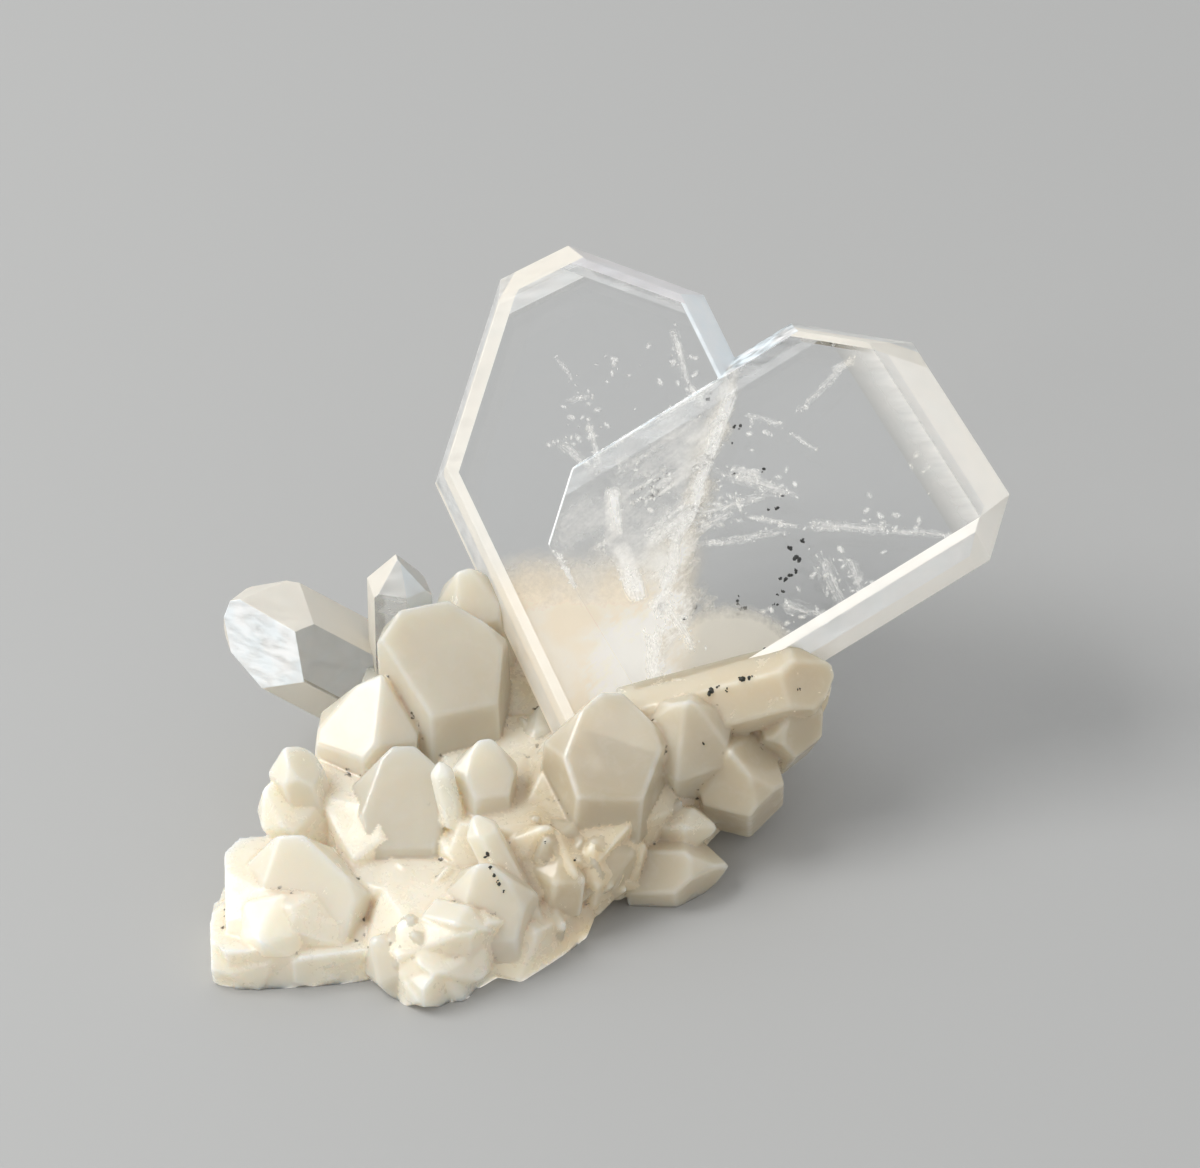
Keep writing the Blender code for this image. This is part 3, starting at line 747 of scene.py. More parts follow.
def scatter_points(base, kept_clear, shapes, count, seed, widths, rises):
    """Copies of the small points, standing where a ray from outside meets the base."""
    chance = random.Random(seed)
    surface = BVHTree.FromObject(base, bpy.context.evaluated_depsgraph_get())
    points = []
    while len(points) < count:
        around = chance.uniform(0, math.tau)
        rise = chance.uniform(*SCATTER_RISE)
        ray = Vector((math.cos(around) * SCATTER_SIDEWAYS, math.sin(around), rise)).normalized()
        aside = Vector([chance.uniform(-reach, reach) for reach in SCATTER_ASIDE] + [0])
        spot = put(SCATTER_MIDDLE + aside)
        hit, normal, _, _ = surface.ray_cast(spot + ray * SCATTER_DISTANCE * MM, -ray)
        if hit is None or normal.z < SCATTER_UNDERSIDE:
            continue
        lean = Vector([chance.uniform(-SCATTER_LEAN, SCATTER_LEAN) for _ in range(3)])
        axis = (normal + SCATTER_LIFT + lean).normalized()
        width = chance.uniform(*widths)
        tip = hit + axis * chance.uniform(*rises) * width * MM
        room = SCATTER_CLEARANCE * width * MM
        too_far_left = tip.x < (SCATTER_LEFT - MIDDLE.x) * MM
        if too_far_left or any(near.find_nearest(tip, room)[0] for near in kept_clear):
            continue
        point = own_copy(chance.choice(shapes))
        mark_growth(point, chance.uniform(*SCATTER_CLEARNESS), chance.uniform(0.0, 1.0))
        turn = Matrix.Rotation(chance.uniform(0, math.tau), 4, "Z")
        breadths = [width * chance.uniform(*breadth) for breadth in SCATTER_BREADTHS]
        upright = axis.to_track_quat("Z", "Y").to_matrix().to_4x4()
        size = Matrix.Diagonal((*breadths, width, 1.0))
        point.matrix_world = Matrix.Translation(tip) @ upright @ turn @ size
        points.append(point)
    return points


def join(items, name):
    """Join objects into the first one, which takes the piece's name."""
    only(items[0])
    for item in items:
        item.select_set(True)
    bpy.ops.object.join()
    items[0].name = name
    settle(items[0])
    return items[0]


def coordinates(item):
    """The places of a mesh's vertices, as an array."""
    places = np.empty(len(item.data.vertices) * 3)
    item.data.vertices.foreach_get("co", places)
    return places.reshape(-1, 3)


def hollows(item, iterations):
    """How far each vertex lies under the smoothed surface, in metres; ridges are negative."""
    smooth = own_copy(item)
    apply_modifier(smooth, "SMOOTH", factor=SMOOTHING, iterations=iterations)
    normals = np.empty(len(item.data.vertices) * 3)
    item.data.vertex_normals.foreach_get("vector", normals)
    depth = ((coordinates(smooth) - coordinates(item)) * normals.reshape(-1, 3)).sum(axis=1)
    bpy.data.objects.remove(smooth)
    return depth


def nearest_growth(source):
    """A function that finds the growth noted on the nearest face of the joined crystals."""
    mesh = source.data
    tree = BVHTree.FromPolygons(
        [vertex.co.copy() for vertex in mesh.vertices], [tuple(face.vertices) for face in mesh.polygons],
    )
    notes = np.empty(len(mesh.polygons) * 4)
    mesh.attributes["growth"].data.foreach_get("color", notes)
    notes = notes.reshape(-1, 4)

    def look_up(item):
        found = [tree.find_nearest(vertex.co)[2] for vertex in item.data.vertices]
        return notes[found]

    return look_up


def raise_clouds(item, scale, strength, group=""):
    """Raise the surface by a cloudy pattern; scale and strength are in metres."""
    pattern = bpy.data.textures.new("clouds", "CLOUDS")
    pattern.noise_scale = scale
    apply_modifier(
        item, "DISPLACE", texture=pattern, texture_coords="LOCAL", strength=strength, mid_level=0.5,
        vertex_group=group,
    )


def milky_material(matrix):
    """Waxy translucent quartz: cream at the right, whiter at the left, with ochre in the hollows; the
    turn to cream is partly painted shade, as are a tan patch in the middle and part of the ochre, and
    the lighter ridges are a painted highlight.
    """
    material, nodes, shader = new_material("milky_quartz")
    place = nodes.places()["Object"]
    across = nodes.add("SeparateXYZ", {"Vector": place}).outputs["X"]
    clearness, warmth, hollow = nodes.parts(nodes.noted("growth")["Color"])
    clouds, wisps, flecks = (nodes.noise(place, name) for name in ("clouds", "wisps", "flecks"))
    # How far the milk turns tan: partly the quartz's own warmth, crystal by crystal and in clouds, and
    # partly painted shade that grows toward the right, away from the lamps at the left, and around the
    # hollow in the middle
    side = nodes.plus(
        nodes.ramp(across, -0.009, 0.012, 0.0, 0.85),
        nodes.ramp(warmth, 0.0, 1.0, -0.15, 0.3),
        nodes.swing(clouds, -0.15, 0.15),
        # Painted shade: a darker tan around the hollow in the middle
        nodes.ramp(nodes.apart(place, put(PAINTED_SHADE_MIDDLE)), 0.002, 0.006, 0.8, 0.0),
    )
    # Ochre in the hollows: partly stains, partly painted shade where the crevices lie in shade
    stain_and_shade = nodes.times(nodes.ramp(hollow, 0.56, 0.85), nodes.ramp(wisps, 0.42, 0.6))
    flecks = nodes.times(nodes.ramp(flecks, 0.66, 0.72), nodes.ramp(hollow, 0.52, 0.66))
    milk = nodes.mix(side, (*matrix.milk, 1.0), (*matrix.tan, 1.0))
    for share, colour in (
        (nodes.times(clearness, 0.4), MILKY_CLEAR),
        (nodes.ramp(wisps, 0.5, 0.75, 0.0, 0.2), MILKY_WISP),
        # Ridges lightened toward near white: painted highlight
        (nodes.ramp(hollow, 0.45, 0.2, 0.0, 0.6), MILKY_RIDGE_HIGHLIGHT),
        (nodes.times(stain_and_shade, 0.6), (*matrix.stain_and_shade_colour, 1.0)),
        (flecks, MILKY_FLECK),
    ):
        milk = nodes.mix(share, milk, colour)
    bump = nodes.add("Bump", {
        "Height": wisps, "Strength": nodes.ramp(clearness, 0.2, 0.9, 0.2, 0.04), "Distance": 0.0002,
    })
    nodes.fill(shader, {
        "Base Color": milk,
        "Roughness": nodes.plus(
            nodes.ramp(clearness, 0.0, 1.0, 0.34, 0.14), nodes.swing(wisps, -0.04, 0.08),
        ),
        "Normal": bump.outputs["Normal"],
        "Transmission Weight": nodes.ramp(clearness, 0.2, 1.0, 0.0, 0.35),
        **MILKY_WAX,
    })
    return material


class QUARTZ_OT_stage(bpy.types.Operator):
    """Set the floor, the soft light and the camera"""

    bl_idname = "quartz.stage"
    bl_label = "Set the Stage"

    def execute(self, context):
        settings = context.scene.quartz_stage
        floor = added(bpy.ops.mesh.primitive_plane_add, size=FLOOR_SIZE)
        floor.name = "floor"
        material, nodes, shader = new_material("pale_floor")
        nodes.fill(shader, {"Base Color": (*settings.floor, 1.0), "Roughness": FLOOR_ROUGHNESS})
        floor.data.materials.append(material)

        world = bpy.data.worlds.new("studio")
        world.use_nodes = True
        context.scene.world = world
        sky = Nodes(world.node_tree)
        heights = sky.add("SeparateXYZ", {"Vector": sky.places()["Generated"]})
        colour = sky.mix(sky.ramp(heights.outputs["Z"], 0.0, 0.5), SKY_LOW, SKY_HIGH)
        sky.fill(world.node_tree.nodes["Background"].inputs, {"Color": colour})
        for name, place, power, size in LIGHTS:
            light = added(bpy.ops.object.light_add, type="AREA", location=place)
            light.name = name
            light.data.energy = power
            light.data.size = size
            light.rotation_euler = (-light.location).to_track_quat("-Z", "Y").to_euler()

        target = put(LOOK_AT)
        back = Vector((0, -math.cos(settings.elevation), math.sin(settings.elevation)))
        camera = added(
            bpy.ops.object.camera_add, location=target + back * settings.distance,
            rotation=(math.pi / 2 - settings.elevation, 0, 0),
        )
        camera.name = "photo_view"
        camera.data.lens = settings.lens
        camera.data.sensor_width = SENSOR_WIDTH
        camera.data.clip_start = MM
        context.scene.camera = camera
        context.scene.view_settings.view_transform = "Standard"
        context.scene.cycles.use_denoising = True
        return {"FINISHED"}


class QUARTZ_OT_twin(bpy.types.Operator):
    """Grow the clear heart-shaped twin"""

    bl_idname = "quartz.twin"
    bl_label = "Grow the Twin"

    def execute(self, context):
        twin = context.scene.quartz_twin
        half = twin.thickness / 2
        thin = half - twin.step
        place = twin_place(twin)
        heart = wing("clear_twin", LEFT_AXIS, LEFT_EDGES, LEFT_CUTS, thin, half, place)
        right = wing("right_wing", RIGHT_AXIS, RIGHT_EDGES, RIGHT_CUTS, half, thin, place)
        apply_modifier(heart, "BOOLEAN", operation="UNION", solver="EXACT", object=right)
        bpy.data.objects.remove(right)
        bevel(heart, twin.edge)
        note_finishes(heart)
        finish_piece(heart, clear_material(place))
        return {"FINISHED"}


# Thin white sheets inside the twin: both ends in millimetres in its plane, width, depth in front of the
# middle of the plates, turn about their length in degrees, and how dense they are
WISPS = (
    ((-0.2, 10.4), (-2.8, 6.2), 1.3, 1.3, 12, 0.95),
    ((-0.1, 8.2), (-1.9, 5.8), 0.9, 1.0, 15, 0.8),
    ((0.1, 12.5), (-3.4, 8.7), 0.8, 1.5, 12, 0.65),
    ((-1.2, 13.8), (-5.0, 9.3), 0.6, 1.4, 10, 0.5),
    ((-0.6, 11.6), (-4.4, 7.6), 0.9, 0.9, 10, 0.45),
    ((-4.75, 8.9), (-3.9, 6.6), 0.9, 1.6, 12, 1.8),
    ((-3.6, 6.3), (-1.7, 3.7), 1.2, 1.5, 12, 1.7),
    ((-1.8, 11.9), (-0.2, 14.1), 0.4, 1.5, 8, 1.15),
    ((-2.7, 8.8), (-0.2, 11.9), 0.4, 1.45, 8, 1.1),
    ((-2.3, 6.4), (-0.4, 8.9), 0.7, 1.4, 8, 1.4),
    ((-4.6, 8.0), (-2.4, 10.4), 0.5, 1.3, 8, 0.85),
    ((-4.9, 5.4), (-3.4, 7.2), 0.9, 1.2, 8, 0.7),
    ((-6.5, 5.1), (-4.9, 3.5), 0.3, 1.6, 0, 1.2),
    ((-0.4, 15.4), (-0.6, 11.0), 0.7, 1.35, 5, 1.7),
    ((-0.6, 11.6), (-0.6, 8.4), 0.7, 1.35, 5, 1.7),
    ((-0.5, 9.1), (-1.1, 7.0), 0.8, 1.35, 5, 1.5),
    ((-1.1, 7.7), (-0.6, 5.2), 0.8, 1.35, 5, 1.1),
    ((-0.7, 5.9), (-0.9, 3.3), 1.0, 1.35, 5, 1.1),
    ((-0.9, 4.0), (0.3, -0.4), 1.3, 1.3, 5, 0.9),
    ((-0.7, 4.3), (1.9, 1.9), 1.0, 1.4, 10, 0.7),
    ((-0.3, 11.0), (4.4, 10.9), 0.8, 1.4, 15, 0.75),
    ((0.6, 11.3), (2.4, 11.4), 0.7, 1.5, 10, 1.0),
    ((-0.6, 8.6), (3.4, 10.9), 0.7, 1.1, 15, 0.65),
    ((-0.4, 7.6), (1.4, 9.4), 0.8, 1.2, 15, 0.65),
    ((1.1, 10.3), (1.9, 9.2), 0.45, 1.2, 20, 0.7),
    ((1.8, 9.2), (5.2, 9.5), 0.4, 1.2, 15, 0.75),
    ((4.8, 9.6), (9.4, 10.5), 0.8, 1.2, 12, 0.85),
    ((8.8, 10.4), (13.1, 11.2), 0.5, 1.2, 12, 0.8),
    ((-0.3, 7.0), (4.4, 9.2), 0.7, 1.0, 12, 0.6),
    ((2.8, 14.7), (4.9, 18.4), 0.5, 1.2, 12, 0.8),
    ((4.0, 17.3), (5.0, 18.2), 0.55, 1.4, 10, 1.15),
    ((0.2, 14.2), (2.6, 14.1), 0.5, 1.2, 12, 0.65),
    ((2.8, 13.9), (4.6, 13.3), 0.35, 1.1, 12, 0.65),
    ((5.6, 8.8), (8.6, 5.4), 1.8, 0.6, 10, 0.42),
    ((7.2, 9.0), (8.9, 6.6), 1.5, 0.4, 12, 0.45),
    ((4.8, 5.6), (7.6, 5.6), 1.2, 0.5, 10, 0.6),
    ((-0.95, 15.6), (-3.7, 12.6), 0.45, 1.55, 0, 1.25),
    ((-3.4, 12.9), (-6.2, 9.9), 0.3, 1.6, 0, 0.9),
    ((-8.6, 12.4), (-6.8, 13.4), 0.7, 1.0, 15, 0.5),
    ((-9.6, 14.6), (-8.0, 13.4), 0.5, 1.1, 15, 0.42),
    ((-8.4, 10.6), (-5.6, 9.4), 0.9, 1.1, 15, 0.6),
    ((-7.0, 11.9), (-5.5, 9.5), 0.5, 1.3, 20, 0.9),
    ((-4.4, 17.7), (-2.4, 14.4), 0.9, 1.3, 20, 0.62),
    ((-2.6, 14.9), (-1.5, 14.0), 0.8, 1.4, 10, 0.95),
)

# White grains: a middle, how far they spread, and how many
GRAIN_CLUSTERS = (
    (-7.2, 11.6, 1.6, 16), (-3.2, 16.0, 1.0, 14), (-6.2, 14.5, 2.4, 12), (-3.4, 9.4, 1.5, 26),
    (2.2, 10.6, 1.6, 20), (8.6, 10.3, 2.0, 16), (1.5, 13.6, 1.0, 8), (5.6, 5.0, 1.4, 16),
    (0.0, 9.0, 1.2, 20), (7.4, 7.4, 2.0, 18), (9.5, 13.5, 1.8, 6),
)
GRAIN_SEED = 7
GRAIN_SIZES = (0.14, 0.5)
GRAIN_DEPTHS = (0.2, 1.4)
GRAIN_TURN = 40
GRAIN_WHITENESS = 1.3
GRAIN_MARGIN = 1.3
TRAIL_SIZES = (0.1, 0.32)
TRAIL_DENSITY = 6.0
SHEET_CUTS, FLAKE_CUTS = 7, 1
SHEET_FADE = 0.2
FIBRE_STRETCH = (0.9, 5.0, 1.0)
VEIL_WAVES = (0.0012, 0.0003)
# The veils' look: their faint Emission is painted light, a glow that makes up for the lamp light that hardly
# reaches them inside the glass
VEIL_LOOK_AND_GLOW = {
    "Base Color": (0.97, 0.96, 0.93, 1.0), "Roughness": 0.6,
    "Emission Color": (1.0, 0.99, 0.96, 1.0), "Emission Strength": 0.18,
}

# The sheets of milk: depths in front of the middle of the plates, the corners of a sheet, and its
# borders, each a direction in degrees and a reach that shrinks with the depth
MILK_DEPTHS = (1.3, 0.2, -0.9)
MILK_LOW, MILK_HIGH = Vector((-9.5, -3.2)), Vector((9.0, 17.2))
MILK_BORDERS = ((222.275, 5.5), (317.725, 3.2), (42.275, 10.7), (137.725, 12.35))
MILK_SLOPE = 0.6
HAZE_DEPTH = 1.6
HAZE_BORDERS = ((180.0, 6.8), (227.725, 0.65), (137.725, 11.0), (0.0, -0.5), (222.275, 4.0))
BARB_TURN, BARB_STRETCH = math.radians(60.0), (0.35, 2.4, 1.0)
DOME_MIDDLE, DOME_REACH = (3.6, 1.2), 3.5
# The milk's look: its faint Emission is painted light, a glow in the milk's own tint
MILK_LOOK_AND_GLOW = {"Roughness": 0.6, "Emission Strength": 0.16}
HAZE_TINTS = (0.90, 0.88, 0.83, 1.0), (0.94, 0.93, 0.90, 1.0)
ROOT_TINTS = (0.95, 0.85, 0.69, 1.0), (0.95, 0.89, 0.78, 1.0)
DOME_TINT = (0.79, 0.75, 0.66, 1.0)
SEAM_TINT = (0.98, 0.96, 0.91, 1.0)


def sheet_shape(cuts):
    """A flat sheet one unit long and wide, modelled once for all the copies."""
    shape = added(bpy.ops.mesh.primitive_plane_add, size=1.0)
    bpy.ops.object.mode_set(mode="EDIT")
    bpy.ops.mesh.subdivide(number_cuts=cuts)
    bpy.ops.object.mode_set(mode="OBJECT")
    shape.data.attributes.new("milkiness", "FLOAT_COLOR", "POINT")
    return shape


def wisp(shape, start, end, width, depth, turn, density, place, shift):
    """One thin sheet inside the twin; its UV counts millimetres along and across it from a shift."""
    start, end = Vector(start), Vector(end)
    along = end - start
    middle = (start + end) / 2
    item = own_copy(shape)
    for vertex, value in zip(item.data.vertices, item.data.attributes["milkiness"].data):
        ends = min(1.0, (0.5 - abs(vertex.co.x)) / SHEET_FADE)
        value.color = (density, ends * (1.0 - 2.0 * abs(vertex.co.y)), 0.0, 1.0)
    for spot in item.data.uv_layers.active.data:
        spot.uv = spot.uv * Vector((along.length, width)) + shift
    item.matrix_world = (
        place
        @ Matrix.Translation(Vector((middle.x, middle.y, depth)) * MM)
        @ Matrix.Rotation(math.atan2(along.y, along.x), 4, "Z")
        @ turned(turn, "X")
        @ Matrix.Diagonal((along.length * MM, width * MM, MM, 1.0))
    )
    return item


def in_heart(spot):
    """Whether a point of the plane lies well inside one of the two windows."""
    edges, axis = (LEFT_EDGES, LEFT_AXIS) if spot.x < TWIN_SEAM else (RIGHT_EDGES, RIGHT_AXIS)
    turns = edge_turns()[0]
    return all(
        in_plane(axis + hand * turns[kind]).to_2d().dot(spot) < reach - GRAIN_MARGIN
        for kind, hand, reach, _, _ in edges
    )


def white_grains(shape, place, chance):
    """Tiny bright flakes strewn about the veils and along them."""
    spots = []
    for across, up, spread, count in GRAIN_CLUSTERS:
        for _ in range(count):
            spot = Vector((chance.gauss(across, spread / 2), chance.gauss(up, spread / 2)))
            spots.append((spot, chance.uniform(*GRAIN_SIZES), chance.uniform(*GRAIN_DEPTHS)))
    for start, end, width, depth, _, density in WISPS:
        start, along = Vector(start), Vector(end) - Vector(start)
        aside = Vector((-along.y, along.x)).normalized()
        for _ in range(round(along.length * density * TRAIL_DENSITY)):
            spot = start + along * chance.random() + aside * chance.gauss(0.0, width / 4)
            spots.append((spot, chance.uniform(*TRAIL_SIZES), depth))
    grains = []
    for spot, size, depth in spots:
        half = Matrix.Rotation(chance.uniform(0, math.pi), 2) @ Vector((size / 2, 0))
        turn = chance.uniform(-GRAIN_TURN, GRAIN_TURN)
        if in_heart(spot):
            row = (spot - half, spot + half, size, depth, turn, GRAIN_WHITENESS)
            grains.append(wisp(shape, *row, place, spot))
    return grains


def veil_material():
    """White healed cracks: fibres along a bright core that break up into grains toward the rim, with a faint
    glow that is painted light.
    """
    material, nodes, shader = new_material("white_veil")
    places = nodes.places()
    fibres = nodes.noise(nodes.stretch(places["UV"], FIBRE_STRETCH), "fibres")
    grains = nodes.noise(places["Object"], "grains")
    milkiness, core, _ = nodes.parts(nodes.noted("milkiness")["Color"])
    body = nodes.weighed((core, 0.8), (fibres, 1.9), (grains, 0.9), (milkiness, 0.6))
    alpha = nodes.times(nodes.ramp(body, 2.05, 2.95, 0.0, 0.95), nodes.ramp(core, 0.0, 0.25))
    nodes.fill(shader, {**VEIL_LOOK_AND_GLOW, "Alpha": alpha})
    return material


def milk_material(name, haze_only):
    """Milk inside the twin: the cream root, the white cloud along the seam and the haze beside it, each
    glowing faintly in its own tint, which is painted light.
    """
    material, nodes, shader = new_material(name)
    places = nodes.places()
    plane = places["UV"]
    across, up, _ = nodes.add("SeparateXYZ", {"Vector": plane}).outputs
    clouds = nodes.noise(places["Object"], "milk")
    aslant = nodes.stretch(plane, (1.0, 1.0, 1.0), -BARB_TURN)
    barbs = nodes.noise(nodes.stretch(aslant, BARB_STRETCH), "barbs")
    specks = nodes.noise(places["Object"], "specks")
    if haze_only:
        body = nodes.weighed((barbs, 0.5), (specks, 0.4), (nodes.ramp(across, -6.8, -0.6), 0.3))
        body = nodes.plus(body, nodes.ramp(clouds, 0.35, 0.65, -0.25, 0.25))
        alpha = nodes.times(
            nodes.ramp(body, 0.4, 1.0, 0.05, 0.7), nodes.ramp(across, -0.5, -1.6), nodes.ramp(up, 3.2, 5.6),
        )
        tint = nodes.mix(clouds, *HAZE_TINTS)
    else:
        from_seam = nodes.sum("ABSOLUTE", nodes.plus(across, 0.75), 0.0)
        share = nodes.sum("DIVIDE", from_seam, nodes.ramp(up, 16.5, 2.0, 0.3, 1.6))
        feather = nodes.weighed((barbs, 2.2), (specks, 1.2))
        feather = nodes.plus(feather, nodes.ramp(clouds, 0.35, 0.65, 0.0, 1.3))
        seam = nodes.minus(feather, share, nodes.ramp(up, 2.0, 9.0, 0.6, 1.35))
        seam = nodes.ramp(seam, 0.15, 1.15, 0.0, 0.97)
        wave = nodes.plus(nodes.swing(clouds, -0.45, 0.45), nodes.swing(specks, -0.3, 0.3))
        left_top = nodes.plus(nodes.times(across, 0.3), 5.1)
        left = nodes.ramp(nodes.minus(left_top, nodes.plus(up, wave)), -2.2, 1.1, 0.0, 0.97)
        left = nodes.times(left, nodes.ramp(across, 0.7, -0.6))
        right = nodes.plus(nodes.apart(plane, (*DOME_MIDDLE, 0.0)), nodes.times(wave, 0.35))
        right = nodes.ramp(right, DOME_REACH + 0.4, DOME_REACH - 0.4, 0.0, 0.9)
        alpha = nodes.most(seam, left, right)
        low = nodes.mix(nodes.ramp(clouds, 0.42, 0.58), *ROOT_TINTS)
        low = nodes.mix(nodes.ramp(across, 0.2, 1.8), low, DOME_TINT)
        tint = nodes.mix(seam, low, SEAM_TINT)
    # The tint glows too: painted light
    nodes.fill(shader, {**MILK_LOOK_AND_GLOW, "Alpha": alpha, "Base Color": tint, "Emission Color": tint})
    return material


def inner_sheet(shape, depth, borders, slope, place):
    """A sheet across the twin, cut where it would leave the glass; its UV is the place in the plane."""
    middle = (MILK_LOW + MILK_HIGH) / 2
    half = Vector(((MILK_HIGH.x - MILK_LOW.x) / 2, 0))
    height = MILK_HIGH.y - MILK_LOW.y
    layer = wisp(shape, middle - half, middle + half, height, depth, 0, 1.0, place, MILK_LOW)
    settle(layer)
    cuts = []
    for angle, reach in borders:
        outward = (place.to_3x3() @ in_plane(angle)).normalized()
        cuts.append((place @ (in_plane(angle) * (reach - slope * abs(depth)) * MM), outward, 0))
    cut_away(layer, cuts)
    return layer


class QUARTZ_OT_veils(bpy.types.Operator):
    """Lay the white veils and the milky cloud inside the twin"""

    bl_idname = "quartz.veils"
    bl_label = "Lay the Veils"

    def execute(self, context):
        place = twin_place(context.scene.quartz_twin)
        chance = random.Random(GRAIN_SEED)
        sheet, flake = sheet_shape(SHEET_CUTS), sheet_shape(FLAKE_CUTS)
        strips = [wisp(sheet, *row, place, Vector(row[0]) * index) for index, row in enumerate(WISPS)]
        veils = join(strips + white_grains(flake, place, chance), "white_veils")
        raise_clouds(veils, *VEIL_WAVES)
        finish_piece(veils, veil_material())
        layers = [inner_sheet(sheet, depth, MILK_BORDERS, MILK_SLOPE, place) for depth in MILK_DEPTHS]
        cloud = join(layers, "milky_root")
        finish_piece(cloud, milk_material("milky_cloud", False))
        haze = inner_sheet(sheet, HAZE_DEPTH, HAZE_BORDERS, 0.0, place)
        haze.name = "overlap_haze"
        finish_piece(haze, milk_material("overlap_haze", True))
        for shape in (sheet, flake):
            bpy.data.objects.remove(shape)
        return {"FINISHED"}


def speck(place, radius, chance):
    """One uneven dark grain."""
    grain = added(bpy.ops.mesh.primitive_ico_sphere_add, subdivisions=1, radius=radius * MM)
    stretch = [chance.uniform(*SPECK_STRETCH) for _ in range(3)]
    turn = Matrix.Rotation(chance.uniform(0, math.tau), 4, Vector((1, 1, 1)))
    grain.matrix_world = place @ turn @ Matrix.Diagonal((*stretch, 1.0))
    return grain


class QUARTZ_OT_specks(bpy.types.Operator):
    """Sow the black specks inside the twin"""

    bl_idname = "quartz.specks"
    bl_label = "Sow the Specks"

    def execute(self, context):
        place = twin_place(context.scene.quartz_twin)
        chance = random.Random(SPECK_SEED)
        grains = []
        for across, along, radius in SPECKS:
            depth = chance.uniform(*SPECK_DEPTH)
            for share in SPECK_PARTS:
                aside = Vector([chance.gauss(0.0, radius / 2) for _ in range(3)])
                spot = Matrix.Translation((Vector((across, along, depth)) + aside) * MM)
                grains.append(speck(place @ spot, radius * share, chance))
        clump = bpy.data.objects["milky_matrix"]
        surface = BVHTree.FromObject(clump, context.evaluated_depsgraph_get())
        front = FRONT.normalized()
        for spot, radius in SURFACE_SPECKS:
            for share in SPECK_PARTS:
                aside = Vector([chance.gauss(0.0, radius / 2) * MM for _ in range(3)])
                hit = surface.ray_cast(put(spot) + aside + front * SPECK_DROP * MM, -front)[0]
                if hit is not None:
                    grains.append(speck(Matrix.Translation(hit), radius * share, chance))
        specks = join(grains, "dark_specks")
        material, nodes, shader = new_material("dark_speck")
        nodes.fill(shader, SPECK_LOOK)
        finish_piece(specks, material)
        return {"FINISHED"}


class QUARTZ_OT_matrix(bpy.types.Operator):
    """Grow the milky clump that the twin roots in"""

    bl_idname = "quartz.matrix"
    bl_label = "Grow the Matrix"

    def execute(self, context):
        settings = context.scene.quartz_matrix
        chunks = [rough_chunk(*chunk) for chunk in CHUNKS]
        for chunk in chunks:
            mark_growth(chunk, *CHUNK_GROWTH)
        shapes = small_point_shapes()
        clump = join(chunks, "milky_matrix")
        crystals = []
        for *row, growth in MILKY_CRYSTALS:
            crystal = quartz_point(*row)
            bevel(crystal, settings.bevel)
            mark_growth(crystal, *growth)
            crystals.append(crystal)
        view = context.evaluated_depsgraph_get()
        kept_clear = [BVHTree.FromObject(crystal, view) for crystal in crystals]
        points = []
        for row in SCATTERS:
            points += scatter_points(clump, kept_clear, shapes, *row)
        clump = join([clump, *crystals, *points], "milky_matrix")
        for shape in shapes:
            bpy.data.objects.remove(shape)

        # One skin over all of it, rougher where the quartz is less clear, and cut flat at the floor
        growth = nearest_growth(clump)
        apply_modifier(clump, "REMESH", mode="VOXEL", voxel_size=settings.grain, use_smooth_shade=True)
        apply_modifier(clump, "SMOOTH", factor=SMOOTHING, iterations=1)
        group = clump.vertex_groups.new(name="rough")
        for index, note in enumerate(growth(clump)):
            group.add((index,), 1.0 - note[0], "REPLACE")
        raise_clouds(clump, *CLUMP_WAVES, "rough")
        middle = (0, 0, -FLOOR_CUT / 2 * MM)
        floor_cut = added(bpy.ops.mesh.primitive_cube_add, size=FLOOR_CUT * MM, location=middle)
        apply_modifier(clump, "BOOLEAN", operation="DIFFERENCE", solver="MANIFOLD", object=floor_cut)
        bpy.data.objects.remove(floor_cut)
        share = settings.most_faces / (2 * len(clump.data.polygons))
        if share < 1:
            apply_modifier(clump, "DECIMATE", ratio=share)

        # What the material reads at each point: clearness, warmth and how deep it lies in a hollow
        notes = growth(clump)
        notes[:, 2] = np.clip(0.5 + hollows(clump, HOLLOW_SMOOTHING) / (FULL_HOLLOW * MM), 0.0, 1.0)
        layer = clump.data.attributes.new("growth", "FLOAT_COLOR", "POINT")
        layer.data.foreach_set("color", notes.ravel())
        finish_piece(clump, milky_material(settings))
        return {"FINISHED"}


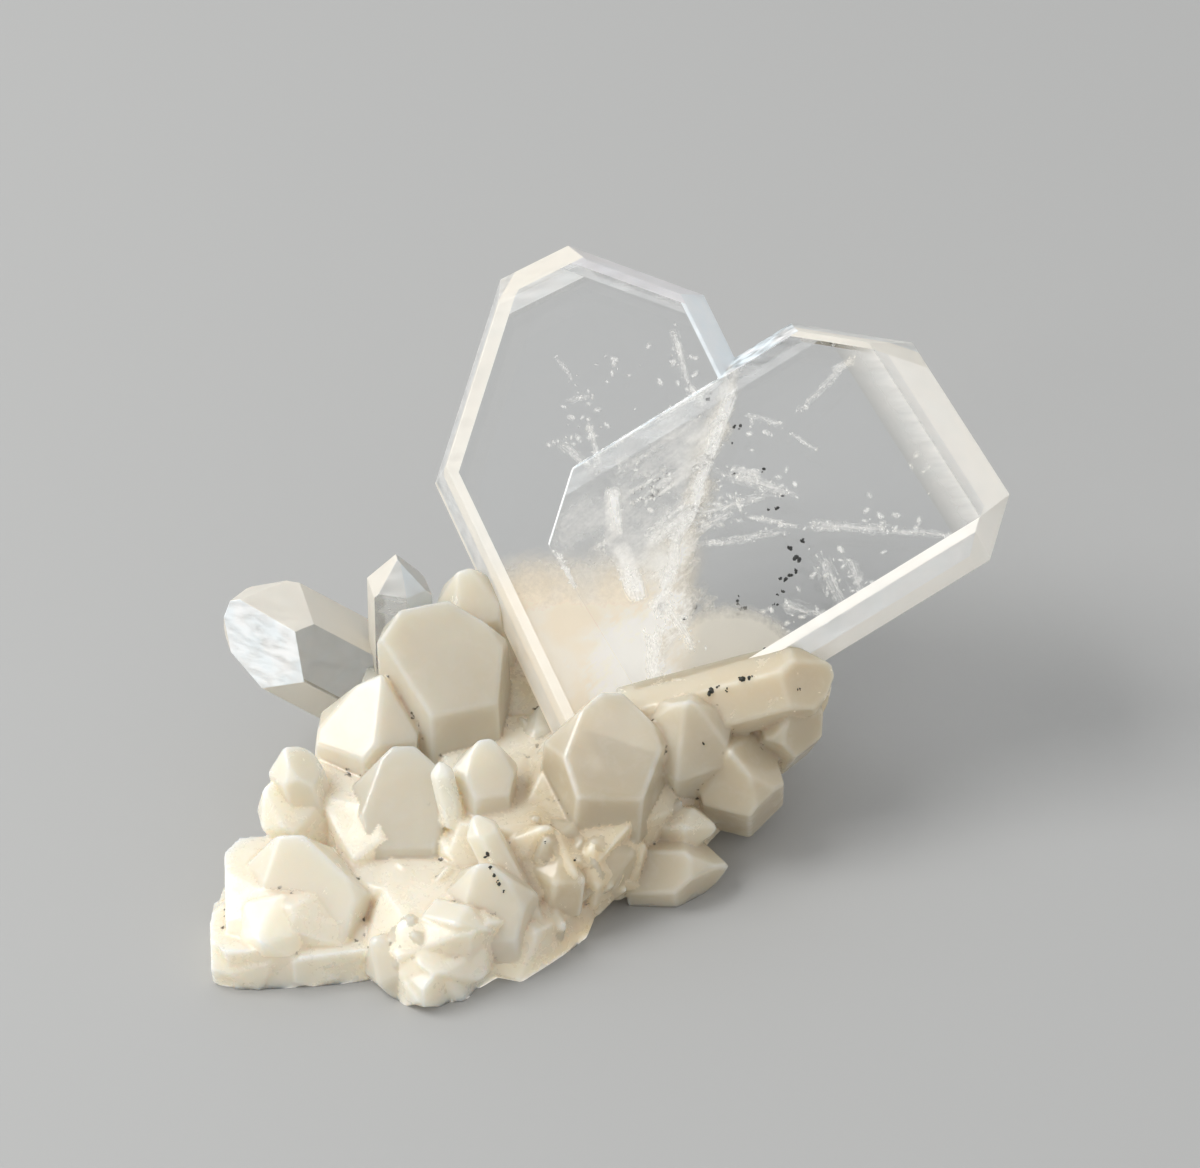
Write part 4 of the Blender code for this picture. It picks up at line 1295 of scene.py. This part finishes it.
class QUARTZ_OT_clear_points(bpy.types.Operator):
    """Grow the clear prism at the left and the small clear point behind it"""

    bl_idname = "quartz.clear_points"
    bl_label = "Grow the Clear Points"

    def execute(self, context):
        edge = context.scene.quartz_twin.edge
        for name, (ends, sides, *crystal) in CLEAR_CRYSTALS.items():
            ends, sides = ([FINISHES.index(finish) for finish in row] for row in (ends, sides))
            item = quartz_point(name, *crystal, ends, sides)
            cut_away(item, [(Vector(), Vector((0, 0, -1)), 0)])
            bevel(item, edge)
            note_finishes(item)
            finish_piece(item, bpy.data.materials["clear_quartz"])
        return {"FINISHED"}


class QUARTZ_PT_panel(bpy.types.Panel):
    """The quartz twin's pieces and sizes"""

    bl_label = "Japan Law Twin Quartz"
    bl_idname = "QUARTZ_PT_panel"
    bl_space_type = "VIEW_3D"
    bl_region_type = "UI"
    bl_category = "Quartz"

    def draw(self, context):
        for settings in (context.scene.quartz_twin, context.scene.quartz_matrix, context.scene.quartz_stage):
            box = self.layout.box()
            for key in settings.__annotations__:
                box.prop(settings, key)
        for operator in OPERATORS:
            self.layout.operator(operator.bl_idname)


OPERATORS = (
    QUARTZ_OT_stage, QUARTZ_OT_twin, QUARTZ_OT_veils, QUARTZ_OT_matrix, QUARTZ_OT_specks,
    QUARTZ_OT_clear_points,
)
CLASSES = (TwinSettings, MatrixSettings, StageSettings, *OPERATORS, QUARTZ_PT_panel)


def register():
    for item in CLASSES:
        bpy.utils.register_class(item)
    bpy.types.Scene.quartz_twin = PointerProperty(type=TwinSettings)
    bpy.types.Scene.quartz_matrix = PointerProperty(type=MatrixSettings)
    bpy.types.Scene.quartz_stage = PointerProperty(type=StageSettings)


def unregister():
    del bpy.types.Scene.quartz_twin
    del bpy.types.Scene.quartz_matrix
    del bpy.types.Scene.quartz_stage
    for item in reversed(CLASSES):
        bpy.utils.unregister_class(item)


def main():
    register()
    bpy.ops.quartz.stage()
    bpy.ops.quartz.twin()
    bpy.ops.quartz.veils()
    bpy.ops.quartz.matrix()
    bpy.ops.quartz.specks()
    bpy.ops.quartz.clear_points()


if __name__ == "__main__":
    main()
